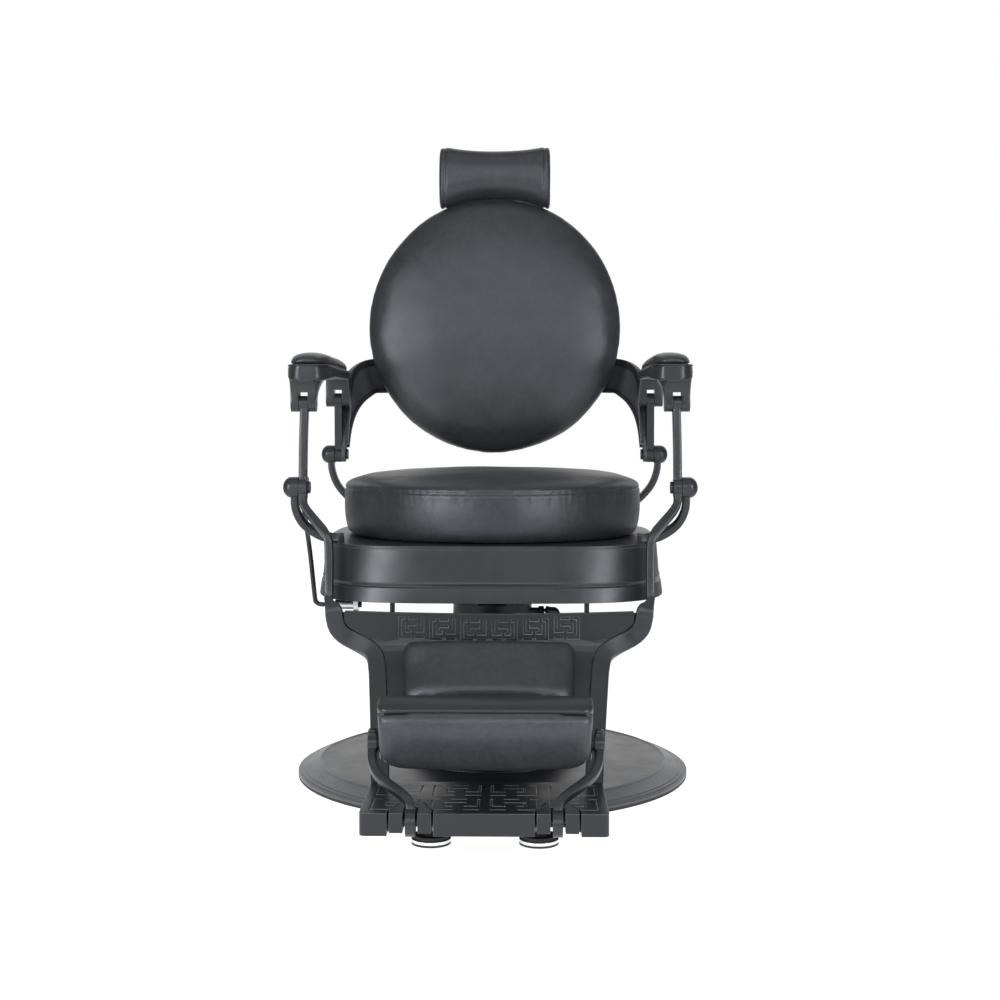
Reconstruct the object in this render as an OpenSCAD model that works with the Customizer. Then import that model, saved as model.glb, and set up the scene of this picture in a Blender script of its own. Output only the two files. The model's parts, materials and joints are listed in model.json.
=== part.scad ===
// Barber chair: round seat and back on a hydraulic pump base, with a linked leg rest.
// Millimetres, +Z up, origin on the floor at the middle of the base, the chair faces -Y.

/* [Base] */
// Radius of the base where it meets the floor
base_r = 334; // [300:1:360]
// Width of the stepped rim round the flat steel plate
rim_w = 41; // [36:0.5:48]
// Height of the plate's edge above the floor
plate_edge_z = 24; // [22:1:30]
// Thickness of the base plate
plate_t = 6; // [4:0.5:8]
// Height of the rubber ring under the rim
gasket_h = 5; // [4:0.5:7]

/* [Pump] */
// Radius of the column bell at its foot
bell_foot_r = 158; // [130:1:180]
// Radius of the column bell at its top
bell_top_r = 68; // [60:1:72]
// Height of the top of the column bell
bell_top_z = 292; // [285:1:298]
// Wall of the column bell
bell_wall = 3; // [2:0.5:4]
// Outer radius of the pump cylinder
pump_r = 48; // [44:1:52]
// Radius of the piston ram
ram_r = 25; // [20:0.5:28]
// Rise of the seat on the ram
lift_travel = 150; // [100:5:160]
// Radial running clearance of pins, shafts and the ram
fit_gap = 0.05; // [0.02:0.01:0.09]

/* [Seat] */
// Radius of the seat cushion at its seam
seat_r = 258; // [240:1:262]
// Height of the underside of the seat cushion
seat_bottom_z = 411; // [405:1:420]
// Height of the seat cushion from underside to seam
seat_side_h = 81; // [70:1:90]
// Rise of the seat crown above the seam
seat_crown = 29; // [20:1:34]
// Half the width of the seat frame at its foot
frame_half_w = 285; // [280:1:289]
// Front reach of the seat frame at its foot
frame_front = 293; // [285:1:300]
// Rear reach of the seat frame at its foot
frame_rear = 250; // [240:1:260]
// Height of the seat frame's skirt
skirt_h = 87; // [75:1:95]

/* [Linkage] */
// Half the distance between the front levers at their pivots
lever_x = 297; // [292:1:300]
// Front pivot, distance in front of the column
front_pivot_y = 225; // [220:1:230]
// Front pivot, height
front_pivot_z = 500; // [495:1:505]
// Length of the front lever from its pivot up to the armrest
lever_up = 133; // [125:1:140]
// Rear pivot, distance behind the column
rear_pivot_y = 170; // [160:1:180]
// Rear pivot, height
rear_pivot_z = 542; // [535:1:550]
// Length of the rear link from its pivot up to the armrest
link_up = 101; // [95:1:108]
// Width of lever and link bars
bar_w = 13; // [11:0.5:14]

/* [Armrests] */
// Width of the armrest at its front
arm_front_w = 75; // [66:1:80]
// Width of the armrest at its rear
arm_rear_w = 46; // [42:1:52]
// Height of the armrest's rim
arm_rim_z = 694; // [690:1:700]
// Height of the leather pad above the rim
arm_pad_h = 21; // [16:1:28]

/* [Back and head] */
// Radius of the round backrest
back_r = 240; // [225:1:245]
// Height of the backrest's middle
back_mid_z = 782; // [775:1:790]
// Lean of the backrest
back_lean = 5; // [2:0.5:8]
// Crown of the backrest cushion in front of its seam
back_crown = 46; // [36:1:54]
// Length of the headrest
head_w = 211; // [190:1:230]
// Height of the headrest at its middle
head_h = 92; // [84:1:100]
// Travel of the headrest post
head_travel = 100; // [60:5:120]

/* [Leg rest] */
// Height of the leg-rest panel's upper edge
panel_top_z = 312; // [305:1:314]
// Half the distance between the rails at the bottom
rail_low_x = 154; // [148:1:155]
// Height of the foot platform's tread
tread_z = 88; // [80:1:95]
// Thickness of the foot platform
tread_h = 30; // [24:1:34]
// Front reach of the foot platform
tread_front = 622; // [610:1:630]
// Depth of the foot platform
tread_d = 172; // [160:1:180]
// Half the width of the foot platform
tread_half = 166; // [160:1:175]
// Radius of the round rubber feet
foot_r = 27; // [22:1:30]

/* [Footrest] */
// Half the length of the flip pad
flip_half = 147.5; // [140:0.5:149]
// Height of the flip pad
flip_h = 84; // [76:1:88]
// Thickness of the flip pad from back to front
flip_t = 62; // [54:1:63]
// Half the distance between the hinge pockets
pocket_x = 98; // [92:1:104]

/* [Hidden] */

$fn = 96;
// Overrun of cuts past the faces they open
over = 1;
// Gap between moving neighbours that are no fit
clear = 1;

// Fineness of swept bars and lofted pads, in points a corner and a plan
corner_points = 3;
plan_points = 64;

// Helpers: blends, splines and sections

function mix(a, b, t) = a + (b - a) * t;
function ease(t) = t * t * (3 - 2 * t);
function held(t) = min(max(t, 0), 1);
function unit(v) = v / norm(v);
function at(v, i) = is_list(v) ? v[i] : v;

// A Catmull-Rom curve through the points p, with so many steps a stretch
function spline_point(p, i, t) =
    let (a = p[max(i - 1, 0)], b = p[i], c = p[i + 1], d = p[min(i + 2, len(p) - 1)])
    (2 * b + (c - a) * t + (2 * a - 5 * b + 4 * c - d) * t * t + (3 * b - a - 3 * c + d) * t * t * t) / 2;
function spline(p, steps) = [
    for (i = [0 : len(p) - 2]) for (s = [0 : steps - 1]) spline_point(p, i, s / steps),
    p[len(p) - 1]
];

// A rounded rectangle of width w and depth d
function section(w, d, r) = [
    for (q = [0 : 3]) for (k = [0 : corner_points - 1])
        let (a = 90 * (q + k / (corner_points - 1)), sx = (q == 0 || q == 3) ? 1 : -1, sy = q < 2 ? 1 : -1)
        [sx * (w / 2 - r) + r * cos(a), sy * (d / 2 - r) + r * sin(a)]
];

// Rings of a bar along a path: its width lies across X, its depth square to path and width
function bar_sections(path, w, d, r) = [
    for (i = [0 : len(path) - 1])
        let (
            t = unit(path[min(i + 1, len(path) - 1)] - path[max(i - 1, 0)]),
            u = unit([1, 0, 0] - t[0] * t),
            v = cross(t, u)
        )
        [for (q = section(at(w, i), at(d, i), r)) path[i] + q[0] * u + q[1] * v]
];

// A closed skin over rings that run counter-clockwise about the direction of travel
module loft(rings) {
    m = len(rings);
    n = len(rings[0]);
    polyhedron(
        points = [for (r = rings) each r],
        faces = concat(
            [[for (j = [0 : n - 1]) j]],
            [
                for (i = [0 : m - 2]) for (j = [0 : n - 1])
                    let (k = (j + 1) % n, a = i * n, b = (i + 1) * n)
                    each [[a + j, b + j, b + k], [a + j, b + k, a + k]]
            ],
            [[for (j = [n - 1 : -1 : 0]) (m - 1) * n + j]]
        )
    );
}

// The same, closed on itself as the wall of a ring
module hoop(rings) {
    m = len(rings);
    n = len(rings[0]);
    polyhedron(
        points = [for (r = rings) each r],
        faces = [
            for (i = [0 : m - 1]) for (j = [0 : n - 1])
                let (k = (j + 1) % n, a = i * n, b = ((i + 1) % m) * n)
                each [[a + j, b + j, b + k], [a + j, b + k, a + k]]
        ]
    );
}

module bar(path, w, d, r) {
    loft(bar_sections(path, w, d, r));
}

// Cylinders and prisms lying across the chair, along X
module across(x, y, z, r, length) {
    translate([x, y, z]) rotate([0, 90, 0]) cylinder(r = r, h = length);
}
module side_prism(x, length) {
    translate([x, 0, 0]) rotate([90, 0, 90]) linear_extrude(length) children();
}
module front_prism(y, length) {
    translate([0, y + length, 0]) rotate([90, 0, 0]) linear_extrude(length) children();
}
module right_copy() {
    mirror([1, 0, 0]) children();
}
module both_sides() {
    children();
    mirror([1, 0, 0]) children();
}

// Base: a flat plate in a stepped rim on a rubber ring

plate_rise = 7;
rim_foot_z = gasket_h;
rim_lip_h = 4;
rim_outer_z = gasket_h + rim_lip_h;
rim_wall = 3.5;
rim_ledge = 10;
gasket_w = 12;
gasket_lip = 1;
// Steps of the rim from the plate outward, as shares of its width and of its fall
rim_step_shares = [[0, 1], [0.1, 1.1], [0.16, 0.98], [0.2, 0.9], [0.62, 0.42], [0.72, 0.4], [0.76, 0.26],
    [0.86, 0.22], [0.9, 0.06], [1, 0]];
plate_r = base_r - rim_w;
rim_fall = plate_edge_z - rim_outer_z;
plate_flat_margin = 20;
plate_hub_r = bell_foot_r - plate_flat_margin;
cylinder_foot_w = 30;
cylinder_foot_r = pump_r + cylinder_foot_w;
cylinder_foot_t = 10;
bolt_ring_gap = 18;
bolt_ring_r = pump_r + bolt_ring_gap;
bolt_r = 5;
bolt_head_r = 9;
bolt_head_h = 6;
base_bolt_count = 6;
plate_hub_z = plate_edge_z + plate_rise;

module base_plate() {
    color([0.2, 0.2, 0.21]) difference() {
        rotate_extrude() polygon([
            [0, plate_hub_z - plate_t], [plate_hub_r, plate_hub_z - plate_t], [plate_r, plate_edge_z - plate_t],
            [plate_r, plate_edge_z], [plate_hub_r, plate_hub_z], [0, plate_hub_z]
        ]);
        for (k = [0 : base_bolt_count - 1]) rotate(360 * k / base_bolt_count)
            translate([bolt_ring_r, 0, 0]) cylinder(r = bolt_r, h = 2 * plate_hub_z);
    }
}

module base_rim() {
    color([0.24, 0.24, 0.25]) rotate_extrude() polygon(concat(
        [[plate_r - rim_ledge, plate_edge_z - plate_t - rim_wall], [plate_r - rim_ledge, plate_edge_z - plate_t],
            [plate_r, plate_edge_z - plate_t]],
        [for (s = rim_step_shares) [plate_r + s[0] * rim_w, rim_outer_z + s[1] * rim_fall]],
        [[base_r, rim_foot_z], [base_r - rim_wall, rim_foot_z],
            [base_r - 2 * rim_wall, rim_outer_z - rim_wall / 2],
            [plate_r, plate_edge_z - plate_t - rim_wall]]
    ));
}

module base_gasket() {
    color([0.3, 0.29, 0.27]) rotate_extrude() polygon([
        [base_r - gasket_w, 0], [base_r - gasket_lip, 0], [base_r, gasket_lip], [base_r, gasket_h],
        [base_r - rim_wall, gasket_h], [base_r - gasket_w, gasket_h]
    ]);
}

// Pump: bell, cylinder, head with the pedal shaft, and the ram

bell_steps = 20;
bell_foot_z = plate_hub_z;
head_z = 262;
head_h_low = 24;
head_r = bell_top_r - bell_wall - clear;
shaft_r = 5;
shaft_z = 276;
ram_top_z = 300;
// Length of the ram that stays in the pump at full height
ram_grip = 76;
ram_foot_z = head_z + head_h_low - ram_grip - lift_travel;
// Gap between the hub's foot and the ram's shoulder
hub_gap = 0.4;
// The bell's radius at a share s of its height: a slender neck that flares towards the foot
function bell_radius(s) = mix(bell_foot_r, bell_top_r, 1 - pow(1 - s, 2.1));

module bell_outline(inset) {
    polygon(concat(
        [[0, bell_foot_z]],
        [for (i = [0 : bell_steps]) [bell_radius(i / bell_steps) - inset, mix(bell_foot_z, bell_top_z, i / bell_steps)]],
        [[0, bell_top_z]]
    ));
}

module column_bell() {
    color([0.06, 0.06, 0.07]) difference() {
        rotate_extrude() bell_outline(0);
        rotate_extrude() bell_outline(bell_wall);
        translate([0, 0, bell_top_z - over]) cylinder(r = bell_top_r - bell_wall, h = 2 * over);
        translate([0, 0, bell_foot_z - over]) cylinder(r = bell_foot_r - bell_wall, h = 2 * over);
        across(0, 0, shaft_z, shaft_r + 2 * clear, bell_foot_r);
    }
}

module pump_cylinder() {
    color([0.35, 0.35, 0.36]) difference() {
        union() {
            translate([0, 0, plate_hub_z]) cylinder(r = cylinder_foot_r, h = cylinder_foot_t);
            translate([0, 0, plate_hub_z]) cylinder(r = pump_r, h = head_z - plate_hub_z);
        }
        translate([0, 0, ram_foot_z - over]) cylinder(r = ram_r + fit_gap, h = head_z);
        for (k = [0 : base_bolt_count - 1]) rotate(360 * k / base_bolt_count)
            translate([bolt_ring_r, 0, 0]) cylinder(r = bolt_r, h = head_z - plate_hub_z);
    }
}

module pump_head() {
    color([0.1, 0.1, 0.11]) difference() {
        translate([0, 0, head_z]) cylinder(r = head_r, h = head_h_low);
        translate([0, 0, head_z - over]) cylinder(r = ram_r + fit_gap, h = head_h_low + 2 * over);
        across(ram_r + 2 * fit_gap, 0, shaft_z, shaft_r + fit_gap, head_r);
    }
}

module base_bolts() {
    color([0.45, 0.45, 0.46]) for (k = [0 : base_bolt_count - 1]) rotate(360 * k / base_bolt_count)
        translate([bolt_ring_r, 0, 0]) {
            translate([0, 0, plate_hub_z - plate_t]) cylinder(r = bolt_r - fit_gap, h = plate_t + cylinder_foot_t);
            translate([0, 0, plate_hub_z + cylinder_foot_t]) cylinder(r = bolt_head_r, h = bolt_head_h, $fn = 6);
        }
}

pedal_x = 112;
pedal_bend = 16;
pedal_y = 306;
pedal_z = 112;
pedal_l = 96;
pedal_w = 44;
pedal_t = 5;
pedal_pad_t = 6;
pedal_drop_y = 84;
pedal_bar = 12;
shaft_gap = 6;
shaft_start = ram_r + shaft_gap;

module pump_lever() {
    path = spline([
        [pedal_x - 2 * pedal_bend, 0, shaft_z], [pedal_x - pedal_bend, 0, shaft_z],
        [pedal_x, pedal_bend / 2, shaft_z - pedal_bend / 2],
        [pedal_x, pedal_drop_y / 3, mix(shaft_z, pedal_z, 1 / 3)], [pedal_x, pedal_drop_y, pedal_z + pedal_bend],
        [pedal_x, pedal_drop_y + 2 * pedal_bend, pedal_z], [pedal_x, pedal_y - pedal_w, pedal_z]
    ], 5);
    color([0.12, 0.12, 0.13]) {
        across(shaft_start, 0, shaft_z, shaft_r, pedal_x - 2 * pedal_bend - shaft_start + clear);
        bar(path, pedal_bar, pedal_bar, pedal_bar / 4);
        translate([pedal_x - pedal_l / 2, pedal_y - pedal_w - clear, pedal_z - pedal_t / 2])
            cube([pedal_l, pedal_w + clear, pedal_t]);
    }
}

module pedal_pad() {
    color([0.05, 0.05, 0.05]) translate([pedal_x - pedal_l / 2, pedal_y - pedal_w + clear, pedal_z + pedal_t / 2]) difference() {
        cube([pedal_l, pedal_w - clear, pedal_pad_t]);
        groove = pedal_pad_t / 3;
        for (k = [1 : 5]) translate([k * pedal_l / 6, -over, pedal_pad_t - groove])
            cube([groove, pedal_w + 2 * over, groove + over]);
    }
}

taper_r = 17;
hub_top_z = 372;
module ram() {
    color([0.75, 0.75, 0.77]) {
        translate([0, 0, ram_foot_z]) cylinder(r = ram_r, h = ram_top_z - ram_foot_z);
        translate([0, 0, ram_top_z]) cylinder(r = taper_r, h = hub_top_z - ram_top_z - 2 * clear);
    }
}

// Seat: hub, skirted frame, top plate and round cushion

plate_thick = 5;
frame_wall = 6;
band_h = 25;
band_step = 2.5;
band_flare = 3;
frame_taper = 4;
plan_power = 4;
frame_top_z = seat_bottom_z - plate_thick;
frame_foot_z = seat_bottom_z - skirt_h;

function signed_pow(v, p) = sign(v) * pow(abs(v), p);
// Plan of the seat frame at a height z, drawn in by so much
function frame_ring(z, inset) = [
    for (k = [0 : plan_points - 1])
        let (a = 360 * (k + 1 / 2) / plan_points, c = cos(a), s = sin(a))
        [
            (frame_half_w - inset) * signed_pow(c, 2 / plan_power),
            ((s > 0 ? frame_rear : frame_front) - inset) * signed_pow(s, 2 / plan_power),
            z
        ]
];
function flat(ring) = [for (p = ring) [p[0], p[1]]];

module seat_frame() {
    upper = band_flare + band_step;
    inner = upper + frame_taper + frame_wall;
    color([0.22, 0.22, 0.23]) hoop([
        frame_ring(frame_foot_z, 0),
        frame_ring(frame_foot_z + band_h / 2, band_flare / 2),
        frame_ring(frame_foot_z + band_h - band_step, band_flare),
        frame_ring(frame_foot_z + band_h, upper),
        frame_ring(frame_foot_z + band_h + 2 * band_step, upper - band_step / 2),
        frame_ring(frame_foot_z + band_h + 3 * band_step, upper),
        frame_ring(frame_top_z, upper + frame_taper),
        frame_ring(frame_top_z, inner),
        frame_ring(frame_foot_z + band_h, inner),
        frame_ring(frame_foot_z, frame_wall)
    ]);
}

module seat_plate() {
    inset = band_flare + band_step + frame_taper;
    color([0.2, 0.2, 0.21]) difference() {
        translate([0, 0, frame_top_z]) linear_extrude(plate_thick) polygon(flat(frame_ring(0, inset)));
        for (s = [-1, 1]) translate([s * stop_x, -stop_y, frame_top_z - over])
            cylinder(r = stop_r, h = plate_thick + 2 * over);
    }
}

hub_r = 42;
hub_flange_r = 95;
hub_flange_t = 8;
hub_web_inset = 3;
module swivel_hub() {
    color([0.16, 0.16, 0.17]) difference() {
        union() {
            translate([0, 0, ram_top_z + hub_gap]) cylinder(r = hub_r, h = frame_top_z - ram_top_z - hub_gap);
            translate([0, 0, frame_top_z - hub_flange_t]) cylinder(r = hub_flange_r, h = hub_flange_t);
            for (k = [0 : 3]) rotate(45 + 90 * k) rotate([90, 0, 0]) translate([0, 0, -hub_flange_t / 2])
                linear_extrude(hub_flange_t) polygon([
                    [hub_r / 2, ram_top_z + hub_flange_t], [hub_r + hub_web_inset, ram_top_z + hub_flange_t],
                    [hub_flange_r - hub_web_inset, frame_top_z - hub_flange_t / 2],
                    [hub_r / 2, frame_top_z - hub_flange_t / 2]
                ]);
        }
        translate([0, 0, ram_top_z - over]) cylinder(r = taper_r + fit_gap, h = hub_top_z - ram_top_z + over);
    }
}

cushion_foot_inset = 6;
cushion_round = 12;
seam_pinch = 3;
crown_steps = 16;
module seat_cushion() {
    seam_z = seat_bottom_z + seat_side_h;
    foot_r = seat_r - cushion_foot_inset;
    color([0.09, 0.09, 0.1]) rotate_extrude() polygon(concat(
        [[0, seat_bottom_z], [foot_r - cushion_round, seat_bottom_z]],
        [for (k = [1 : 4]) let (a = 90 * k / 4)
            [foot_r - cushion_round * (1 - sin(a)), seat_bottom_z + cushion_round * (1 - cos(a))]],
        [for (k = [1 : 6]) let (t = k / 6)
            [mix(foot_r, seat_r - seam_pinch, t) + seam_pinch * sin(180 * t),
                mix(seat_bottom_z + cushion_round, seam_z, t)]],
        [for (k = [0 : crown_steps]) let (a = 90 * k / crown_steps)
            [seat_r * pow(cos(a), 0.6) - (k == 0 ? seam_pinch : 0),
                seam_z + seat_crown * pow(sin(a), 0.85) * (k == 0 ? 0 : 1)]]
    ));
}

// Stops that the leg-rest panel closes against
stop_x = 152;
stop_r = 4;
bumper_r = 8;
bumper_z = 292;
stop_y = 258;
stop_foot_z = bumper_z;
stop_head_h = 3;
module stop_rods() {
    color([0.3, 0.3, 0.31]) for (s = [-1, 1]) translate([s * stop_x, -stop_y, 0]) {
        translate([0, 0, stop_foot_z]) cylinder(r = stop_r - fit_gap, h = seat_bottom_z - stop_foot_z);
        translate([0, 0, frame_top_z - stop_head_h]) cylinder(r = 2 * stop_r, h = stop_head_h);
    }
}
module stop_bumpers() {
    reach = panel_y - panel_t / 2 - clear / 2 - stop_y;
    color([0.05, 0.05, 0.05]) for (s = [-1, 1]) translate([s * stop_x, -stop_y, bumper_z]) difference() {
        rotate([90, 0, 0]) translate([0, 0, -bumper_r]) cylinder(r = bumper_r, h = bumper_r + reach);
        cylinder(r = stop_r, h = 2 * bumper_r);
    }
}

// Pivots of the linkage

eye_r = 15;
knob_r = 16.5;
pin_r = 8;
pin_head_t = 4.5;
pin_head_r = 9.5;
washer_gap = 0.3;
bracket_w = 12;
bracket_d = 15;
knob_w = 12;
knob_dome = 13;
front_knob_x = lever_x + bar_w / 2 + washer_gap;
rear_x = 288;
rear_knob_x = rear_x + bar_w / 2 + washer_gap;
rear_boss_w = 6.5;
rear_boss_x = rear_x - bar_w / 2 - rear_boss_w;

// A domed boss that carries a pivot pin, on the outside of a bar
module pivot_knob(x, y, z) {
    translate([x, y, z]) rotate([0, 90, 0]) rotate_extrude() polygon(concat(
        [[0, 0], [knob_r, 0], [knob_r, knob_w]],
        [for (k = [1 : 8]) let (a = 90 * k / 8) [knob_r * cos(a), knob_w + knob_dome * sin(a)]]
    ));
}
module pivot_pin(x0, x1, y, z) {
    across(x0, y, z, pin_r, x1 - x0);
    across(x0 - pin_head_t, y, z, pin_head_r, pin_head_t);
}

bracket_foot_x = 236;
bracket_foot_y = 190;
module bracket_shape(points) {
    bar(spline(points, 5), bracket_w, bracket_d, bracket_w / 4);
}
module bracket_bore(x, y, z) {
    across(x - over, y, z, pin_r + fit_gap, knob_w + over);
}
module front_bracket() {
    x = front_knob_x + knob_w / 2;
    drop = front_pivot_z - seat_bottom_z;
    foot_z = seat_bottom_z + bracket_w / 2;
    color([0.22, 0.22, 0.23]) difference() {
        union() {
            pivot_knob(front_knob_x, -front_pivot_y, front_pivot_z);
            bracket_shape([
                [x, -front_pivot_y, front_pivot_z], [x, -front_pivot_y + bar_w / 4, front_pivot_z - drop * 0.36],
                [mix(x, bracket_foot_x, 0.16), -front_pivot_y + bar_w, front_pivot_z - drop * 0.66],
                [mix(x, bracket_foot_x, 0.5), -mix(front_pivot_y, bracket_foot_y, 0.7), foot_z + drop * 0.06],
                [mix(x, bracket_foot_x, 0.8), -mix(front_pivot_y, bracket_foot_y, 0.9), foot_z],
                [bracket_foot_x, -bracket_foot_y, foot_z]
            ]);
        }
        bracket_bore(front_knob_x, -front_pivot_y, front_pivot_z);
        below_plate_top();
    }
}
// What lies below the seat plate's upper face, to seat the brackets on it
module below_plate_top() {
    translate([0, 0, seat_bottom_z - seat_side_h]) linear_extrude(seat_side_h) square(4 * seat_r, center = true);
}
module rear_bracket() {
    x = rear_knob_x + knob_w / 2;
    drop = rear_pivot_z - seat_bottom_z;
    foot_x = bracket_foot_x;
    color([0.22, 0.22, 0.23]) difference() {
        union() {
            pivot_knob(rear_knob_x, rear_pivot_y, rear_pivot_z);
            bracket_shape([
                [x, rear_pivot_y, rear_pivot_z], [x, rear_pivot_y, rear_pivot_z - drop * 0.2],
                [mix(x, foot_x, 0.15), rear_pivot_y + bar_w / 4, rear_pivot_z - drop * 0.42],
                [mix(x, foot_x, 0.48), rear_pivot_y + bar_w / 2, rear_pivot_z - drop * 0.62],
                [mix(x, foot_x, 0.92), rear_pivot_y + bar_w / 2, rear_pivot_z - drop * 0.8],
                [foot_x, rear_pivot_y + bar_w / 2, seat_bottom_z + bracket_d / 6]
            ]);
        }
        bracket_bore(rear_knob_x, rear_pivot_y, rear_pivot_z);
        below_plate_top();
    }
}
module front_pins() {
    color([0.5, 0.5, 0.52]) both_sides()
        pivot_pin(lever_x - bar_w / 2 - washer_gap, front_knob_x + knob_w, -front_pivot_y, front_pivot_z);
}
module rear_pins() {
    color([0.5, 0.5, 0.52]) both_sides()
        pivot_pin(rear_boss_x - washer_gap, rear_knob_x + knob_w, rear_pivot_y, rear_pivot_z);
}

// Recline lever: a bent rod on a cross shaft under the right side of the frame

recline_y = -60;
recline_z = 293;
recline_r = 4;
recline_shaft_r = 5;
bearing_r = 8;
bearing_x0 = 226;
bearing_x1 = 266;
recline_foot_x = 300;
recline_top_x = 320;
recline_knob_z = 468;
recline_knob_l = 46;
recline_knob_r = 9;
recline_bend = 10;
hanger_w = 30;
hanger_t = 8;
module lever_bearing() {
    color([0.14, 0.14, 0.15]) right_copy() difference() {
        union() {
            across(bearing_x0, recline_y, recline_z, bearing_r, bearing_x1 - bearing_x0);
            translate([bearing_x0, recline_y - hanger_w / 2, recline_z])
                cube([hanger_t, hanger_w, frame_top_z - recline_z]);
            across(bearing_x0, recline_y, recline_z, hanger_w / 2, hanger_t);
        }
        across(bearing_x0 - over, recline_y, recline_z, recline_shaft_r + fit_gap, bearing_x1);
    }
}
module recline_lever() {
    bend = recline_bend;
    color([0.1, 0.1, 0.1]) right_copy() {
        across(bearing_x0 - bend / 2, recline_y, recline_z, recline_shaft_r, bearing_x1 - bearing_x0 + bend);
        bar(spline([
            [bearing_x1 + bend / 4, recline_y, recline_z], [recline_foot_x - bend, recline_y, recline_z],
            [recline_foot_x - bend / 4, recline_y, recline_z + bend / 3],
            [recline_foot_x + bend / 10, recline_y, recline_z + 1.3 * bend],
            [mix(recline_foot_x, recline_top_x, 0.45), recline_y, mix(recline_z, recline_knob_z, 0.5)],
            [recline_top_x, recline_y, recline_knob_z - bend], [recline_top_x, recline_y, recline_knob_z],
            [recline_top_x, recline_y, recline_knob_z + bend]
        ], 4), 2 * recline_r, 2 * recline_r, recline_r - fit_gap);
    }
}
module recline_knob() {
    color([0.04, 0.04, 0.04]) right_copy() translate([recline_top_x, recline_y, recline_knob_z]) difference() {
        rotate_extrude() polygon(concat(
            [[0, 0], [recline_knob_r * 0.7, 0], [recline_knob_r, recline_knob_l * 0.6]],
            [for (k = [0 : 8]) let (a = 90 * k / 8)
                [recline_knob_r * cos(a), recline_knob_l - recline_knob_r * (1 - sin(a))]]
        ));
        bore = recline_knob_l / 4;
        translate([0, 0, -over]) cylinder(r = recline_r + clear, h = bore + over);
    }
}

// Leg rest: front levers that run down into rails, a curved panel, calf pad and foot platform

head_eye_r = 12.5;
pin_small_r = 5;
open_pivot_gap = 1.5;
panel_y = 286;
panel_bend_z = 268;
panel_t = 9;
panel_foot_z = 122;
rail_w = 27;
rail_d = 18;
tread_back = tread_front - tread_d;
lever_head_set = 10;
lever_head_y = front_pivot_y - lever_head_set;
lever_head_z = front_pivot_z + lever_up;
tread_mid_z = tread_z - tread_h / 2;
rail_power = 1.35;
// Distance in front of the column at a height z, along the leg rest's side curve
function leg_y(z) = panel_y + (z > panel_bend_z ? 0
    : (tread_back - panel_y) * pow((panel_bend_z - z) / (panel_bend_z - tread_mid_z), rail_power));
function rail_point(x, z) = [x, -leg_y(z), z];

skirt_clear_y = 263;
lever_low_x = 250;
lever_lean = 1;
panel_corner = 27;
panel_top_half = lever_low_x - panel_corner;
lever_points = [
    [lever_x - lever_lean, -lever_head_y, lever_head_z],
    [lever_x, -mix(lever_head_y, front_pivot_y, 0.6), mix(lever_head_z, front_pivot_z, 0.5)],
    [lever_x, -front_pivot_y, front_pivot_z],
    [mix(lever_x, lever_low_x, 0.05), -mix(front_pivot_y, skirt_clear_y, 0.2), mix(front_pivot_z, frame_top_z, 0.3)],
    [mix(lever_x, lever_low_x, 0.5), -mix(front_pivot_y, skirt_clear_y, 0.55), mix(front_pivot_z, frame_top_z, 0.57)],
    [mix(lever_x, lever_low_x, 0.88), -mix(front_pivot_y, skirt_clear_y, 0.9), mix(front_pivot_z, frame_top_z, 0.78)],
    [lever_low_x + lever_lean, -skirt_clear_y, frame_top_z],
    [lever_low_x, -mix(skirt_clear_y, panel_y, 0.35), mix(frame_top_z, frame_foot_z, 0.8)],
    [lever_low_x - lever_lean, -mix(skirt_clear_y, panel_y, 0.7), frame_foot_z]
];
// The rails below the seat frame: across as shares from the lever to the low rail, down as shares to the tread
rail_in_shares = [0.094, 0.115, 0.165, 0.33, 0.6, 0.76, 0.822, 0.859, 0.941, 1, 1.01];
rail_down_shares = [0.048, 0.088, 0.155, 0.215, 0.267, 0.315, 0.394, 0.506, 0.773, 1, 1.06];
rail_points = [
    for (k = [0 : len(rail_in_shares) - 1])
        rail_point(mix(lever_low_x, rail_low_x, rail_in_shares[k]),
            mix(frame_foot_z, tread_mid_z, rail_down_shares[k]))
];
lever_path = spline(concat(lever_points, rail_points), 3);
rail_shoulder = 12;
function lever_width(z) = mix(bar_w, rail_w, ease(held((frame_foot_z - z) / rail_shoulder)));
lever_widths = [for (p = lever_path) lever_width(p[2])];

module front_lever() {
    x0 = lever_x - bar_w / 2;
    reach = 4 * rail_w;
    color([0.23, 0.23, 0.24]) difference() {
        union() {
            bar(lever_path, lever_widths, rail_d, bar_w / 4);
            across(x0, -front_pivot_y, front_pivot_z, eye_r, bar_w);
            across(x0, -lever_head_y, lever_head_z, head_eye_r, bar_w);
        }
        across(x0 - bar_w, -front_pivot_y, front_pivot_z, pin_r + fit_gap, 3 * bar_w);
        across(x0 - bar_w, -lever_head_y, lever_head_z, pin_small_r + open_pivot_gap, 3 * bar_w);
        translate([rail_low_x - reach / 2, -tread_back - reach, 0]) cube([reach, reach, reach]);
    }
}

// A point at a height z on the leg rest's side curve, moved n to the front of it, as [y, z]
probe = 1;
function leg_at(z, n) =
    let (t = unit([leg_y(z + probe) - leg_y(z - probe), -2 * probe]))
    [-leg_y(z) + n * t[1], z - n * t[0]];
module leg_band(z0, z1, n0, n1, steps) {
    polygon(concat(
        [for (k = [0 : steps]) leg_at(mix(z0, z1, k / steps), n0)],
        [for (k = [steps : -1 : 0]) leg_at(mix(z0, z1, k / steps), n1)]
    ));
}

// The rail's inner edge in the front view, at so much distance, as [x, z]
function rail_edge(i, gap) =
    let (
        p = lever_path[i],
        t = unit(lever_path[min(i + 1, len(lever_path) - 1)] - lever_path[i - 1]),
        u = unit([1, 0, 0] - t[0] * t),
        q = p - (lever_widths[i] / 2 + gap) * u
    ) [q[0], q[2]];
panel_gap = 0.4;
seam_gap = 0.8;
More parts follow.
